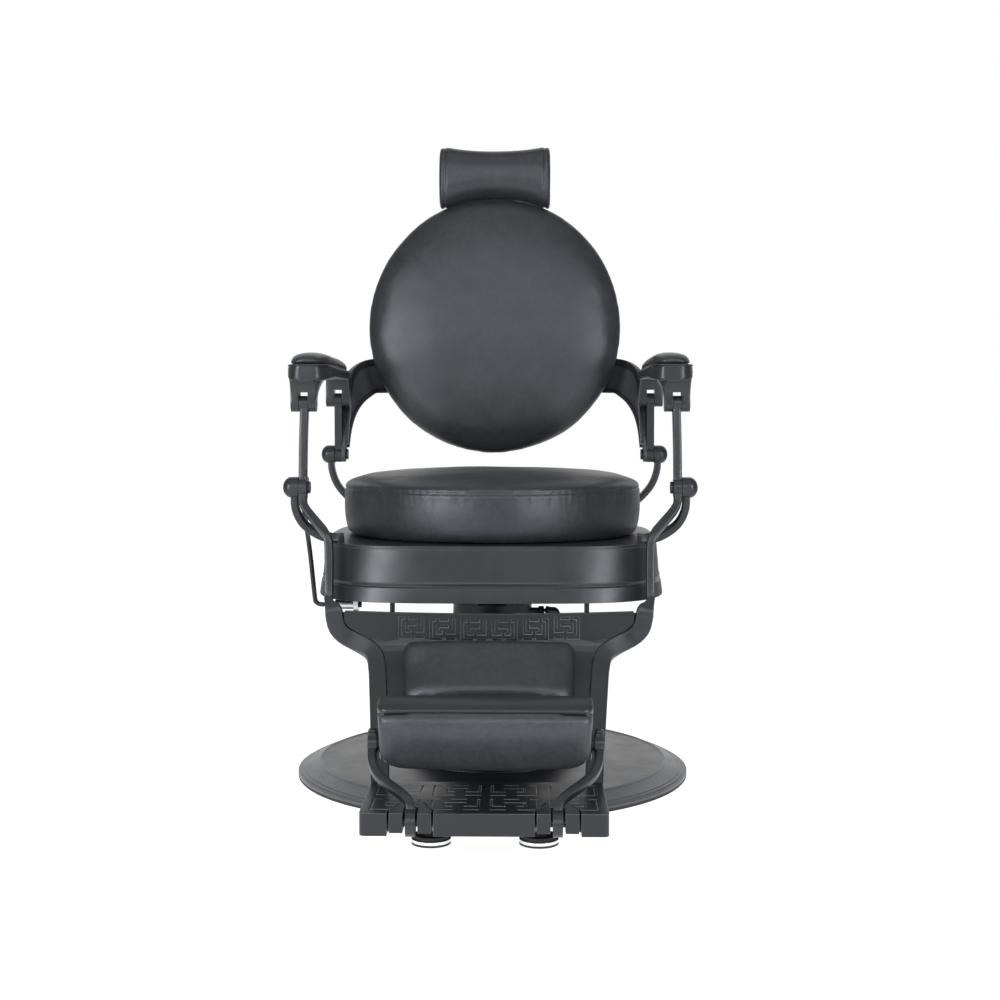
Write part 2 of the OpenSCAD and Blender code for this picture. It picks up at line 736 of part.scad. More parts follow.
// The seam between rail and panel opens a little where the rail bends
seam_bend_gap = 2.3;
seam_bend_z = 263;
seam_bend_reach = 26;
seam_bend_fade = 10;
function seam_at(z) =
    mix(seam_gap, seam_bend_gap, held((seam_bend_reach - abs(z - seam_bend_z)) / seam_bend_fade));
panel_sag = 4;
panel_steps = 18;
panel_edge = [
    for (i = [1 : len(lever_path) - 1])
        let (e = rail_edge(i, seam_at(lever_path[i][2])))
        if (e[1] < panel_top_z - panel_sag && e[1] > panel_foot_z) [min(e[0], panel_top_half), e[1]]
];
function panel_top_at(x) = panel_top_z - panel_sag * (1 - pow(x / panel_top_half, 2));
top_steps = 12;
lug_t = 5;
lug_h = 22;
lug_w = 16;
lug_rise = 5;
lug_heights = [panel_bend_z + lug_h + lug_rise, panel_foot_z + lug_h];
function edge_x(z, i = 0) = i >= len(panel_edge) - 1 || panel_edge[i][1] < z ? panel_edge[i][0] : edge_x(z, i + 1);

// The panel's edge at the foot of a lug at a height z, where the rail comes nearest to it
function lug_x(z) = edge_x(z - lug_h / 2);

motif_unit = 4.95;
motif_pitch = 48;
motif_count = 6;
motif_line = 4.4;
motif_depth = 1.4;
motif_top_z = 304;
motif_sag = 4.6;
// A meander of seven strokes on a grid of 8 by 7 units, each as left, top, right and bottom
fret_strokes = [
    [0, 0, 2, 1], [0, 0, 1, 7], [0, 6, 4, 7], [3, 0, 6, 1], [7, 0, 8, 5], [5, 4, 8, 5],
    [2, 2, 6, 3], [2, 2, 3, 5], [2, 4, 4, 5], [5, 6, 8, 7]
];
module fret(size, line) {
    slim = (size - line) / 2;
    for (b = fret_strokes)
        translate([b[0] * size + slim, -b[3] * size + slim])
            square([(b[2] - b[0]) * size - 2 * slim, (b[3] - b[1]) * size - 2 * slim]);
}
module fret_row(count, pitch, size, line, sag) {
    middle = (count - 1) / 2;
    for (k = [0 : count - 1]) {
        place = (k - middle) / middle;
        translate([(k - middle) * pitch, -sag * (1 - place * place)]) mirror([k > middle ? 1 : 0, 0])
            translate([-4 * size, 0]) fret(size, line);
    }
}

module legrest_panel() {
    color([0.24, 0.24, 0.25]) difference() {
        union() {
            intersection() {
                side_prism(-panel_top_half, 2 * panel_top_half)
                    leg_band(panel_top_z + over, panel_foot_z - over, panel_t / 2, -panel_t / 2, panel_steps);
                front_prism(-tread_back, tread_back - panel_y + panel_t) polygon(concat(
                    [for (k = [0 : top_steps]) let (x = mix(-panel_top_half, panel_top_half, k / top_steps))
                        [x, panel_top_at(x)]],
                    panel_edge,
                    [for (k = [len(panel_edge) - 1 : -1 : 0]) [-panel_edge[k][0], panel_edge[k][1]]]
                ));
            }
            for (z = lug_heights) both_sides() {
                side_prism(lug_x(z) - lug_w, edge_x(z) - lug_x(z) + 2 * lug_w)
                    leg_band(z + lug_h / 2, z - lug_h / 2, -rail_d / 2 - panel_gap, -rail_d / 2 - lug_t, 4);
                side_prism(lug_x(z) - lug_w, lug_w - clear)
                    leg_band(z + lug_h / 2, z - lug_h / 2, -panel_t / 4, -rail_d / 2 - lug_t / 2, 4);
            }
        }
        front_prism(-panel_y - panel_t / 2 - over, motif_depth + over) translate([0, motif_top_z])
            fret_row(motif_count, motif_pitch, motif_unit, motif_line, motif_sag);
    }
}

panel_bolt_r = 6;
panel_bolt_h = 4;
module panel_bolts() {
    color([0.4, 0.4, 0.41]) for (z = lug_heights) both_sides() {
        n = -rail_d / 2 - lug_t;
        p = leg_at(z, n);
        q = leg_at(z, n - panel_bolt_h);
        slope = atan2(q[1] - p[1], q[0] - p[0]);
        translate([edge_x(z) + lug_w / 2, p[0], p[1]]) rotate([slope - 90, 0, 0])
            cylinder(r = panel_bolt_r, h = panel_bolt_h, $fn = 6);
    }
}

calf_top_z = 264;
calf_foot_z = 172;
calf_top_half = 136;
calf_foot_half = 130;
calf_t = 34;
calf_rings = 16;
calf_side = 5;
// A crowned pad's section: flat below, upright at its sides, domed above; half width w, height h, crown power p
function pad_section(w, side, h, n, p) = concat(
    [for (k = [0 : n]) let (x = -cos(180 * k / n)) [-w * x, side + (h - side) * pow(1 - pow(abs(x), p), 1 / p)]],
    [[-w, 0], [w, 0]]
);
module calf_pad() {
    color([0.09, 0.09, 0.1]) loft([
        for (i = [0 : calf_rings])
            let (
                s = i / calf_rings,
                z = mix(calf_top_z, calf_foot_z, (1 - cos(180 * s)) / 2),
                e = abs(2 * (z - calf_foot_z) / (calf_top_z - calf_foot_z) - 1),
                full = pow(1 - pow(e, 8), 1 / 4),
                w = mix(calf_foot_half, calf_top_half, (z - calf_foot_z) / (calf_top_z - calf_foot_z)),
                round_w = w - calf_side * 3 * (1 - full)
            )
            [for (q = pad_section(round_w, calf_side * mix(0.3, 1, full), mix(calf_side, calf_t, full), 14, 3))
                let (p = leg_at(z, panel_t / 2 + panel_gap * 1.25 + q[1])) [q[0], p[0], p[1]]]
    ]);
}

// Foot platform with its two hinge pockets, feet and rings

tread_wall = 6;
tread_corner = 8;
pocket_front = 31;
pocket_rear = 16;
pocket_d = 60;
pocket_gap = 3;
pocket_rise = 4;
arm_slot_w = 20;
arm_slot_d = 36;
hinge_y = 608;
hinge_z = 72;
hinge_pin_r = 5;
foot_x = 73.5;
foot_y = 556;
foot_bottom_z = 31;
foot_stem_r = 7;
foot_h = 12;
foot_skirt = 3;
ring_h = 4;
tread_unit = 9.1;
tread_line = 3;
tread_groove = 1.2;
tread_motif_pitch = 81;
tread_row_pitch = 76;
tread_margin = 16;

module rounded_rect(x0, x1, y0, y1, r) {
    translate([x0 + r, y0]) square([x1 - x0 - 2 * r, y1 - y0]);
    translate([x0, y0 + r]) square([x1 - x0, y1 - y0 - 2 * r]);
    for (x = [x0 + r, x1 - r]) for (y = [y0 + r, y1 - r]) translate([x, y]) circle(r = r);
}
// Plan of a pocket, drawn in by so much at its sides
module pocket_plan(inset, reach) {
    front = -tread_front - reach;
    polygon([
        [-pocket_front + inset, front], [pocket_front - inset, front],
        [pocket_front - inset, -tread_front + pocket_d * 0.35],
        [mix(pocket_front, pocket_rear, 0.55) - inset / 2, -tread_front + pocket_d * 0.6],
        [pocket_rear - inset, -tread_front + pocket_d], [-pocket_rear + inset, -tread_front + pocket_d],
        [-mix(pocket_front, pocket_rear, 0.55) + inset / 2, -tread_front + pocket_d * 0.6],
        [-pocket_front + inset, -tread_front + pocket_d * 0.35]
    ]);
}
module foot_platform() {
    low = tread_z - tread_h;
    color([0.24, 0.24, 0.25]) difference() {
        union() {
            difference() {
                translate([0, 0, low]) linear_extrude(tread_h)
                    rounded_rect(-tread_half, tread_half, -tread_front, -tread_back, tread_corner);
                difference() {
                    translate([0, 0, low - over]) linear_extrude(tread_h - tread_wall + over)
                        rounded_rect(-tread_half + tread_wall, tread_half - tread_wall,
                            -tread_front + tread_wall, -tread_back - tread_wall, tread_corner);
                    both_sides() translate([pocket_x, 0, 0]) linear_extrude(tread_z)
                        pocket_plan(-tread_wall, 0);
                    both_sides() translate([foot_x, -foot_y, 0]) cylinder(r = foot_stem_r + tread_wall, h = tread_z);
                }
                both_sides() translate([pocket_x, 0, low - over]) linear_extrude(tread_h + 2 * over)
                    pocket_plan(0, over);
                both_sides() translate([foot_x, -foot_y, 0]) cylinder(r = foot_stem_r + fit_gap, h = tread_z - tread_wall);
            }
            both_sides() translate([pocket_x, 0, low + pocket_rise]) linear_extrude(tread_h - pocket_rise)
                pocket_plan(pocket_gap, 0);
        }
        both_sides() {
            translate([pocket_x - arm_slot_w / 2, -tread_front - over, 0])
                cube([arm_slot_w, arm_slot_d + over, 2 * tread_z]);
            across(pocket_x - pocket_front - over, -hinge_y, hinge_z, hinge_pin_r + fit_gap, 2 * pocket_front);
        }
        translate([0, 0, tread_z - tread_groove]) linear_extrude(tread_groove + over) {
            for (row = [0, 1]) translate([0, -tread_back - tread_margin - row * tread_row_pitch])
                fret_row(4, tread_motif_pitch, tread_unit, tread_line, 0);
        }
    }
}
module platform_feet() {
    color([0.04, 0.04, 0.04]) both_sides() translate([foot_x, -foot_y, foot_bottom_z]) {
        cylinder(r = foot_r - foot_skirt, h = foot_h);
        cylinder(r = foot_r, h = foot_skirt);
        cylinder(r = foot_stem_r + tread_wall, h = tread_z - tread_h - foot_bottom_z);
        cylinder(r = foot_stem_r, h = tread_z - tread_wall - foot_bottom_z);
    }
}
module foot_rings() {
    color([0.8, 0.8, 0.82]) both_sides() translate([foot_x, -foot_y, foot_bottom_z + foot_skirt]) difference() {
        cylinder(r = foot_r, h = ring_h);
        translate([0, 0, -over]) cylinder(r = foot_r - foot_skirt + fit_gap, h = ring_h + 2 * over);
    }
}

// Footrest: two bent arms hinged in the pockets, carrying a pad that flips on its trunnions

flip_y = 515;
flip_z = 157.5;
flip_lean = 25;
flip_shell_t = 40;
flip_below = 20;
flip_round = 6;
flip_wall = 6;
flip_end_wall = 14;
trunnion_r = 6;
trunnion_eye_r = 13.5;
arm_bar = 13;
trunnion_boss_l = 3.5;
trunnion_boss_r = 9;
trunnion_x = flip_half + trunnion_boss_l;
hinge_eye_r = 18;
// The bent arm from its hinge to its trunnion: across, forward and up, each as a share
footrest_arm_shares = [
    [0, 0, 0], [0, 0.05, 0.15], [0.04, 0.12, 0.27], [0.2, 0.23, 0.36], [0.52, 0.4, 0.47],
    [0.82, 0.57, 0.6], [0.98, 0.77, 0.78], [1, 1, 1]
];
footrest_eye_x = trunnion_x + arm_bar / 2;
module footrest_arm() {
    path = spline([
        for (s = footrest_arm_shares)
            [mix(pocket_x, footrest_eye_x, s[0]), -mix(hinge_y, flip_y, s[1]), mix(hinge_z, flip_z, s[2])]
    ], 3);
    color([0.3, 0.3, 0.31]) difference() {
        union() {
            bar(path, arm_bar, arm_bar, arm_bar / 4);
            across(pocket_x - arm_bar / 2, -hinge_y, hinge_z, hinge_eye_r, arm_bar);
            across(trunnion_x, -flip_y, flip_z, trunnion_eye_r, arm_bar);
        }
        across(pocket_x - arm_bar, -hinge_y, hinge_z, hinge_pin_r + fit_gap, 2 * arm_bar);
        across(trunnion_x - arm_bar, -flip_y, flip_z, trunnion_r + fit_gap, 3 * arm_bar);
    }
}
module footrest_pins() {
    color([0.5, 0.5, 0.52]) both_sides() {
        reach = pocket_front - pocket_gap;
        across(pocket_x - reach, -hinge_y, hinge_z, hinge_pin_r, 2 * reach);
    }
}

// Places a pad upright on its trunnion axis and leans it
module flip_place() {
    translate([0, -flip_y, flip_z]) rotate([flip_lean, 0, 0]) children();
}
// A rounded box lofted along X, its ends drawn in by a round
module flip_body(y0, y1, z0, z1, half, round_r, rings) {
    loft([
        for (i = [0 : rings])
            let (
                c = cos(180 * i / rings),
                x = -half * signed_pow(c, 0.35),
                k = round_r * (1 - pow(1 - pow(abs(x / half), 12), 1 / 3)),
                r = mix(round_r, round_r / 3, k / round_r)
            )
            [for (q = section(z1 - z0 - 2 * k, y1 - y0 - 2 * k, r)) [x, (y0 + y1) / 2 - q[1], (z0 + z1) / 2 + q[0]]]
    ]);
}
module footrest_shell() {
    color([0.2, 0.2, 0.21]) flip_place() difference() {
        flip_body(-flip_shell_t / 2, flip_shell_t / 2, -flip_below, flip_h - flip_below,
            flip_half, flip_round, 12);
        translate([-flip_half + flip_end_wall, -flip_shell_t, -flip_below + flip_wall])
            cube([2 * (flip_half - flip_end_wall), 1.5 * flip_shell_t - flip_wall, flip_h - 2 * flip_wall]);
    }
}
module footrest_cushion() {
    front = -flip_shell_t / 2;
    pad_t = flip_t - flip_shell_t;
    color([0.09, 0.09, 0.1]) flip_place() loft([
        for (i = [0 : 20])
            let (
                c = cos(180 * i / 20),
                x = -flip_half * signed_pow(c, 0.6),
                full = pow(1 - pow(abs(x / flip_half) * 0.995, 8), 1 / 3),
                h = (flip_h - panel_gap) / 2 * mix(0.8, 1, full),
                mid = flip_h / 2 - flip_below
            )
            [for (q = pad_section(h, pad_t * 0.2 * full, pad_t * mix(0.25, 1, full), 12, 3))
                [x, front - panel_gap / 2 - q[1], mid - q[0]]]
    ]);
}
module footrest_trunnions() {
    color([0.3, 0.3, 0.31]) both_sides() {
        across(flip_half, -flip_y, flip_z, trunnion_r, trunnion_x + arm_bar - flip_half);
        across(flip_half, -flip_y, flip_z, trunnion_boss_r, trunnion_x - flip_half - washer_gap);
    }
}

// Back: round cushion on a dished shell, side brackets, links and headrest socket

back_y = 236;
shell_dish = 22;
shell_t = 5;
shell_inset = 4;
back_rear_t = 26;
back_steps = 16;
shell_r = back_r - back_rear_t - shell_inset;
function shell_depth(a) = back_rear_t + shell_dish * pow(sin(a), 0.7);
// Places what is drawn facing up along +Z so that it faces the front and leans
module back_place() {
    translate([0, back_y, back_mid_z]) rotate([90 - back_lean, 0, 0]) children();
}
module backrest_cushion() {
    color([0.09, 0.09, 0.1]) back_place() rotate_extrude() polygon(concat(
        [[0, -back_rear_t + shell_t], [back_r - back_rear_t, -back_rear_t + shell_t]],
        [for (k = [1 : 6]) let (a = 90 * k / 6)
            [back_r - back_rear_t + back_rear_t * sin(a), -(back_rear_t - shell_t) * cos(a)]],
        [for (k = [1 : back_steps]) let (a = 90 * k / back_steps)
            [back_r * pow(cos(a), 0.62), back_crown * pow(sin(a), 0.9)]]
    ));
}
module backrest_shell() {
    color([0.07, 0.07, 0.08]) back_place() rotate_extrude() polygon(concat(
        [[0, -back_rear_t - shell_t], [shell_r - 2 * shell_t, -back_rear_t - shell_t],
            [shell_r - 2 * shell_t, -back_rear_t + shell_t], [shell_r, -back_rear_t + shell_t]],
        [for (k = [0 : back_steps]) let (a = 90 * k / back_steps) [shell_r * cos(a), -shell_depth(a)]]
    ));
}
// What the shell and the cushion before it fill, to seat the parts behind them
module back_fill() {
    back_place() rotate_extrude() polygon(concat(
        [[0, back_crown]],
        [for (k = [back_steps : -1 : 0]) let (a = 90 * k / back_steps)
            [shell_r * cos(a), -shell_depth(a) - fit_gap]],
        [[shell_r, back_crown]]
    ));
}

link_head_set = 5;
link_head_y = rear_pivot_y - link_head_set;
link_head_z = rear_pivot_z + link_up;
rear_eye_r = 14;
link_head_r = 12;
link_d = 18;
link_tail = 14;
module rear_link() {
    x0 = rear_x - bar_w / 2;
    color([0.23, 0.23, 0.24]) difference() {
        union() {
            across(x0, rear_pivot_y, rear_pivot_z, rear_eye_r, bar_w);
            across(x0, link_head_y, link_head_z, link_head_r, bar_w);
            side_prism(x0, bar_w) polygon([
                [link_head_y - link_d / 2, link_head_z], [link_head_y + link_d / 2, link_head_z],
                [rear_pivot_y + link_d / 2, rear_pivot_z], [rear_pivot_y + link_d / 3, rear_pivot_z - link_tail],
                [rear_pivot_y - link_d / 3, rear_pivot_z - link_tail], [rear_pivot_y - link_d / 2, rear_pivot_z]
            ]);
        }
        across(x0 - over, rear_pivot_y, rear_pivot_z, pin_r + fit_gap, bar_w + 2 * over);
        across(x0 - over, link_head_y, link_head_z, pin_small_r + fit_gap, bar_w + 2 * over);
    }
}

bracket_mid_z = 690;
bracket_h = 68;
bracket_seat_x = 140;
bracket_seat_w = 40;
bracket_seat_y = 273;
bracket_boss_r = 12;
bracket_boss_reach = 26;
bracket_bolt_r = 4;
bracket_bolt_head_r = 8;
bracket_bolt_head_h = 5;
bracket_root_x = bracket_seat_x + bracket_seat_w - rear_boss_w;
// The side bracket, from behind the backrest out, forward and down to the rear pivot, as shares of its reach
back_bracket_shares = [[0, 0, 0], [0.34, 0.015, 0], [0.64, 0.115, 0.02], [0.83, 0.345, 0.14], [0.92, 0.595, 0.34],
    [0.975, 0.82, 0.635], [1, 1, 1]];
module bracket_bolt_places() {
    for (s = [-1, 1])
        translate([bracket_seat_x + bracket_seat_w / 2, bracket_seat_y + rear_boss_w, bracket_mid_z + s * bracket_h / 4])
            rotate([90, 0, 0]) children();
}
module back_bracket() {
    path = spline([
        for (s = back_bracket_shares)
            [mix(bracket_root_x, rear_boss_x + rear_boss_w / 2, s[0]),
                mix(bracket_seat_y + rear_boss_w / 2, rear_pivot_y, s[1]), mix(bracket_mid_z, rear_pivot_z, s[2])]
    ], 4);
    n = len(path) - 1;
    tall = [for (i = [0 : n]) mix(bracket_h - 2 * clear, 2 * rear_eye_r, ease(held((i / n - 0.4) / 0.6)))];
    color([0.23, 0.23, 0.24]) difference() {
        union() {
            blade(path, rear_boss_w, tall, rear_boss_w / 4);
            translate([bracket_seat_x, bracket_seat_y, bracket_mid_z - bracket_h / 2])
                cube([bracket_seat_w, rear_boss_w, bracket_h]);
            bracket_bolt_places() cylinder(r = bracket_boss_r, h = bracket_boss_reach);
            across(rear_boss_x, rear_pivot_y, rear_pivot_z, rear_eye_r, rear_boss_w);
        }
        across(rear_boss_x - over, rear_pivot_y, rear_pivot_z, pin_r + fit_gap, rear_boss_w + 2 * over);
        across(rear_boss_x - rear_boss_w, rear_pivot_y, rear_pivot_z, pin_head_r + clear, rear_boss_w);
        translate([rear_boss_x + rear_boss_w, 0, 0]) cube([bar_w, bracket_seat_y, bracket_mid_z]);
        bracket_bolt_places() translate([0, 0, -over]) cylinder(r = bracket_bolt_r + fit_gap, h = 2 * bracket_boss_reach);
        back_fill();
    }
}
// A bar whose tall side stays square to its path in a plane that turns from the front view to the side view
module blade(path, thin, tall, r) {
    m = len(path) - 1;
    loft([
        for (i = [0 : m])
            let (
                t = unit(path[min(i + 1, m)] - path[max(i - 1, 0)]),
                face = unit([mix(0, 1, ease(i / m)), mix(1, 0, ease(i / m)), 0]),
                u = unit(face - (face * t) * t),
                v = cross(t, u)
            )
            [for (q = section(at(thin, i), tall[i], r)) path[i] + q[0] * u + q[1] * v]
    ]);
}
module back_bolts() {
    color([0.35, 0.35, 0.36]) both_sides() bracket_bolt_places() {
        cylinder(r = bracket_bolt_r, h = rear_boss_w);
        translate([0, 0, -bracket_bolt_head_h]) cylinder(r = bracket_bolt_head_r, h = bracket_bolt_head_h, $fn = 6);
    }
}

// Headrest: a saddle-shaped roll on a flat post in a socket behind the back

post_w = 40;
post_t = 10;
socket_wall = 5;
socket_h = 90;
socket_reach = 10;
post_y = back_y + back_rear_t + shell_dish + socket_wall + post_t / 2 + socket_reach;
socket_z = 830;
// Length of the post that stays in the socket at full height
post_grip = 20;
post_foot_z = socket_z + socket_h - head_travel - post_grip;
head_d = 84;
head_saddle = 12;
head_gap = 4;
head_set = 2;
head_mid_y = back_y + back_r * sin(back_lean) - head_set;
head_foot_z = back_mid_z + back_r * cos(back_lean) + head_gap;
head_end_round = 9;
head_pivot_z = head_foot_z + head_h / 2;
function back_arc_drop(x) = back_r - sqrt(back_r * back_r - x * x);
module headrest_socket() {
    w = post_w + 2 * socket_wall;
    t = post_t + 2 * socket_wall;
    seat_y = back_y + back_rear_t;
    color([0.15, 0.15, 0.16]) difference() {
        union() {
            translate([-w / 2, post_y - t / 2, socket_z]) cube([w, t, socket_h]);
            translate([-w, seat_y, socket_z]) cube([2 * w, post_y - t / 2 - seat_y + over, socket_h]);
        }
        translate([-post_w / 2 - fit_gap, post_y - post_t / 2 - fit_gap, socket_z - over])
            cube([post_w + 2 * fit_gap, post_t + 2 * fit_gap, socket_h + 2 * over]);
        back_fill();
    }
}
clamp_stem_r = 6;
clamp_stem_l = 12;
clamp_knob_r = 16;
clamp_knob_l = 14;
module headrest_clamp() {
    color([0.04, 0.04, 0.04]) translate([0, post_y + post_t / 2 + socket_wall, socket_z + socket_h / 2])
        rotate([-90, 0, 0]) {
            cylinder(r = clamp_stem_r, h = clamp_stem_l);
            translate([0, 0, clamp_stem_l]) cylinder(r = clamp_knob_r, h = clamp_knob_l);
        }
}
post_eye_r = 11;
module headrest_post() {
    color([0.7, 0.7, 0.72]) difference() {
        union() {
            translate([-post_w / 2, post_y - post_t / 2, post_foot_z]) cube([post_w, post_t, head_pivot_z - post_foot_z]);
            across(-post_w / 2, post_y, head_pivot_z, post_eye_r, post_w);
        }
        across(-post_w, post_y, head_pivot_z, pin_small_r + fit_gap, 2 * post_w);
    }
}
// The yoke: a plate let into the back of the roll, with a lug on either side of the post's eye
yoke_half = 44;
yoke_h = 40;
yoke_t = 4;
lug_thick = 8;
lug_in_x = post_w / 2 + clear;
yoke_y = post_y - post_eye_r - clear;
module headrest_yoke() {
    color([0.15, 0.15, 0.16]) difference() {
        union() {
            translate([-yoke_half, yoke_y - yoke_t, head_pivot_z - yoke_h / 2]) cube([2 * yoke_half, yoke_t, yoke_h]);
            both_sides() {
                across(lug_in_x, post_y, head_pivot_z, post_eye_r, lug_thick);
                translate([lug_in_x, yoke_y - yoke_t / 2, head_pivot_z - post_eye_r])
                    cube([lug_thick, post_y - yoke_y + yoke_t / 2, 2 * post_eye_r]);
            }
        }
        across(-yoke_half, post_y, head_pivot_z, pin_small_r + fit_gap, 2 * yoke_half);
    }
}
module headrest_pin() {
    reach = lug_in_x + lug_thick;
    color([0.5, 0.5, 0.52]) {
        across(-reach, post_y, head_pivot_z, pin_small_r, 2 * reach);
        both_sides() across(reach, post_y, head_pivot_z, pin_small_r + clear, pin_small_r / 2);
    }
}
module headrest_pad() {
    half = head_w / 2;
    color([0.09, 0.09, 0.1]) difference() {
        loft([
            for (i = [0 : 24])
                let (
                    x = -half * signed_pow(cos(180 * i / 24), 0.7),
                    s = abs(x / half),
                    inset = head_end_round * (1 - pow(1 - pow(s * 0.99, 10), 1 / 3)),
                    z0 = head_foot_z - back_arc_drop(x) + inset,
                    z1 = head_foot_z + head_h + head_saddle * s * s - inset,
                    d = head_d - 2 * inset
                )
                [for (k = [0 : 23]) let (a = 360 * k / 24)
                    [x, head_mid_y - d / 2 * signed_pow(sin(a), 0.8), (z0 + z1) / 2 + (z1 - z0) / 2 * signed_pow(cos(a), 0.8)]]
        ]);
        translate([-yoke_half, yoke_y - yoke_t, head_pivot_z - yoke_h / 2]) cube([2 * yoke_half, head_d, yoke_h]);
    }
}

// Armrests: a tapering cast arm with a clevis at each end and a domed pad on its rim

arm_x = 287.5;
arm_front_y = 262;
arm_back_y = 184;
arm_t = 20;
arm_dip = 4;
front_clevis_w = 40;
rear_clevis_w = 44;
slot_w = 15;
clevis_r = 13;
slot_rise = 18;
arm_rings = 20;
arm_edge = 5;
arm_root_drop = 6;
arm_rear_rise = 4;
arm_pad_inset = 3;
arm_pad_side = 3.5;
arm_pad_foot = 0.5;
front_root_w = 68;
front_root_d = 70;
front_root_round = 24;
rear_root_w = 46;
rear_root_d = 40;
rear_root_round = 13;
root_rings = 8;
function arm_half(s) = mix(arm_front_w, arm_rear_w, s) / 2;
// The arm's underside at a share s of its length: deeper over the clevises, arched between
function arm_foot(s) = arm_rim_z - arm_t - arm_root_drop * pow(1 - held(s / 0.3), 2) + arm_rear_rise * s;
// Plan of the arm, rounded at both ends, as a share of its half width
function arm_plan(s) = pow(1 - pow(abs(2 * s - 1) * 0.998, 8), 0.385);
module arm() {
    color([0.23, 0.23, 0.24]) difference() {
        union() {
            loft([
                for (i = [0 : arm_rings])
                    let (
                        s = (1 - signed_pow(cos(180 * i / arm_rings), 0.7)) / 2,
                        w = 2 * arm_half(s) * mix(0.2, 1, arm_plan(s)),
                        z0 = arm_foot(s)
                    )
                    [for (q = section(w, arm_rim_z - z0, arm_edge)) [arm_x - q[0], mix(-arm_front_y, arm_back_y, s),
                        (arm_rim_z + z0) / 2 + q[1]]]
            ]);
            clevis(lever_x, -lever_head_y, lever_head_z, front_clevis_w, front_root_w, front_root_d, front_root_round);
            clevis(rear_x, link_head_y, link_head_z, rear_clevis_w, rear_root_w, rear_root_d, rear_root_round);
        }
        clevis_slot(lever_x, -lever_head_y, lever_head_z, front_clevis_w);
        clevis_slot(rear_x, link_head_y, link_head_z, rear_clevis_w);
        across(lever_x - front_clevis_w, -lever_head_y, lever_head_z, pin_small_r + fit_gap, 2 * front_clevis_w);
        across(rear_x - rear_clevis_w, link_head_y, link_head_z, pin_small_r + fit_gap, 2 * rear_clevis_w);
    }
}
// A fork that flares upward into the arm
module clevis(x, y, z, w, root_w, root_d, root_round) {
    across(x - w / 2, y, z, clevis_r, w);
    loft([
        for (k = [0 : root_rings])
            let (
                t = k / root_rings,
                e = pow(t, 2.5),
                mid_x = mix(x, arm_x, e),
                ring_z = mix(z, arm_rim_z - arm_t / 2, t)
            )
            [for (q = section(mix(w, root_w, e), mix(2 * clevis_r, root_d, e), mix(arm_edge / 2, root_round, e)))
                [mid_x + q[0], y + q[1], ring_z]]
    ]);
}
module clevis_slot(x, y, z, w) {
    translate([x - slot_w / 2, y - 2 * clevis_r, z - 2 * clevis_r]) cube([slot_w, 4 * clevis_r, 2 * clevis_r + slot_rise]);
}
module arm_pins() {
    color([0.5, 0.5, 0.52]) {
        across(lever_x - front_clevis_w / 2, -lever_head_y, lever_head_z, pin_small_r, front_clevis_w);
        across(rear_x - rear_clevis_w / 2, link_head_y, link_head_z, pin_small_r, rear_clevis_w);
    }
}
module arm_pad() {
    color([0.09, 0.09, 0.1]) loft([
        for (i = [0 : arm_rings])
            let (
                s = (1 - signed_pow(cos(180 * i / arm_rings), 0.7)) / 2,
                full = arm_plan(s),
                w = (arm_half(s) - arm_pad_inset) * mix(0.2, 1, full),
                h = arm_pad_h * mix(0.2, 1, full)
            )
            [for (q = pad_section(w, mix(arm_pad_foot, arm_pad_side, full), h, 14, 2.4))
                [arm_x - q[0], mix(-arm_front_y + arm_pad_inset, arm_back_y - arm_pad_inset, s), arm_rim_z + q[1]]]
    ]);
}

base_plate();
base_rim();
base_gasket();
column_bell();
pump_cylinder();
pump_head();
base_bolts();
pump_lever();
pedal_pad();
ram();
swivel_hub();
seat_frame();
seat_plate();
seat_cushion();
front_bracket();  // front_bracket_left
right_copy() front_bracket();  // front_bracket_right
rear_bracket();  // rear_bracket_left
right_copy() rear_bracket();  // rear_bracket_right
front_pins();
rear_pins();
stop_rods();
stop_bumpers();
lever_bearing();
recline_lever();
recline_knob();
backrest_cushion();
backrest_shell();
back_bracket();  // back_bracket_left
right_copy() back_bracket();  // back_bracket_right
rear_link();  // rear_link_left
right_copy() rear_link();  // rear_link_right
back_bolts();
headrest_socket();
headrest_clamp();
headrest_post();
headrest_pin();
headrest_pad();
headrest_yoke();
arm();  // arm_left
right_copy() arm();  // arm_right
arm_pad();  // arm_pad_left
right_copy() arm_pad();  // arm_pad_right
arm_pins();  // arm_pins_left
right_copy() arm_pins();  // arm_pins_right
front_lever();  // front_lever_left
right_copy() front_lever();  // front_lever_right
legrest_panel();
calf_pad();
panel_bolts();
foot_platform();
platform_feet();
foot_rings();
footrest_arm();  // footrest_arm_left
right_copy() footrest_arm();  // footrest_arm_right
footrest_pins();
footrest_shell();
footrest_cushion();
footrest_trunnions();
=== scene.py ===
import json
import math

import bmesh
import bpy
import numpy as np
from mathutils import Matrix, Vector, noise
from mathutils.bvhtree import BVHTree


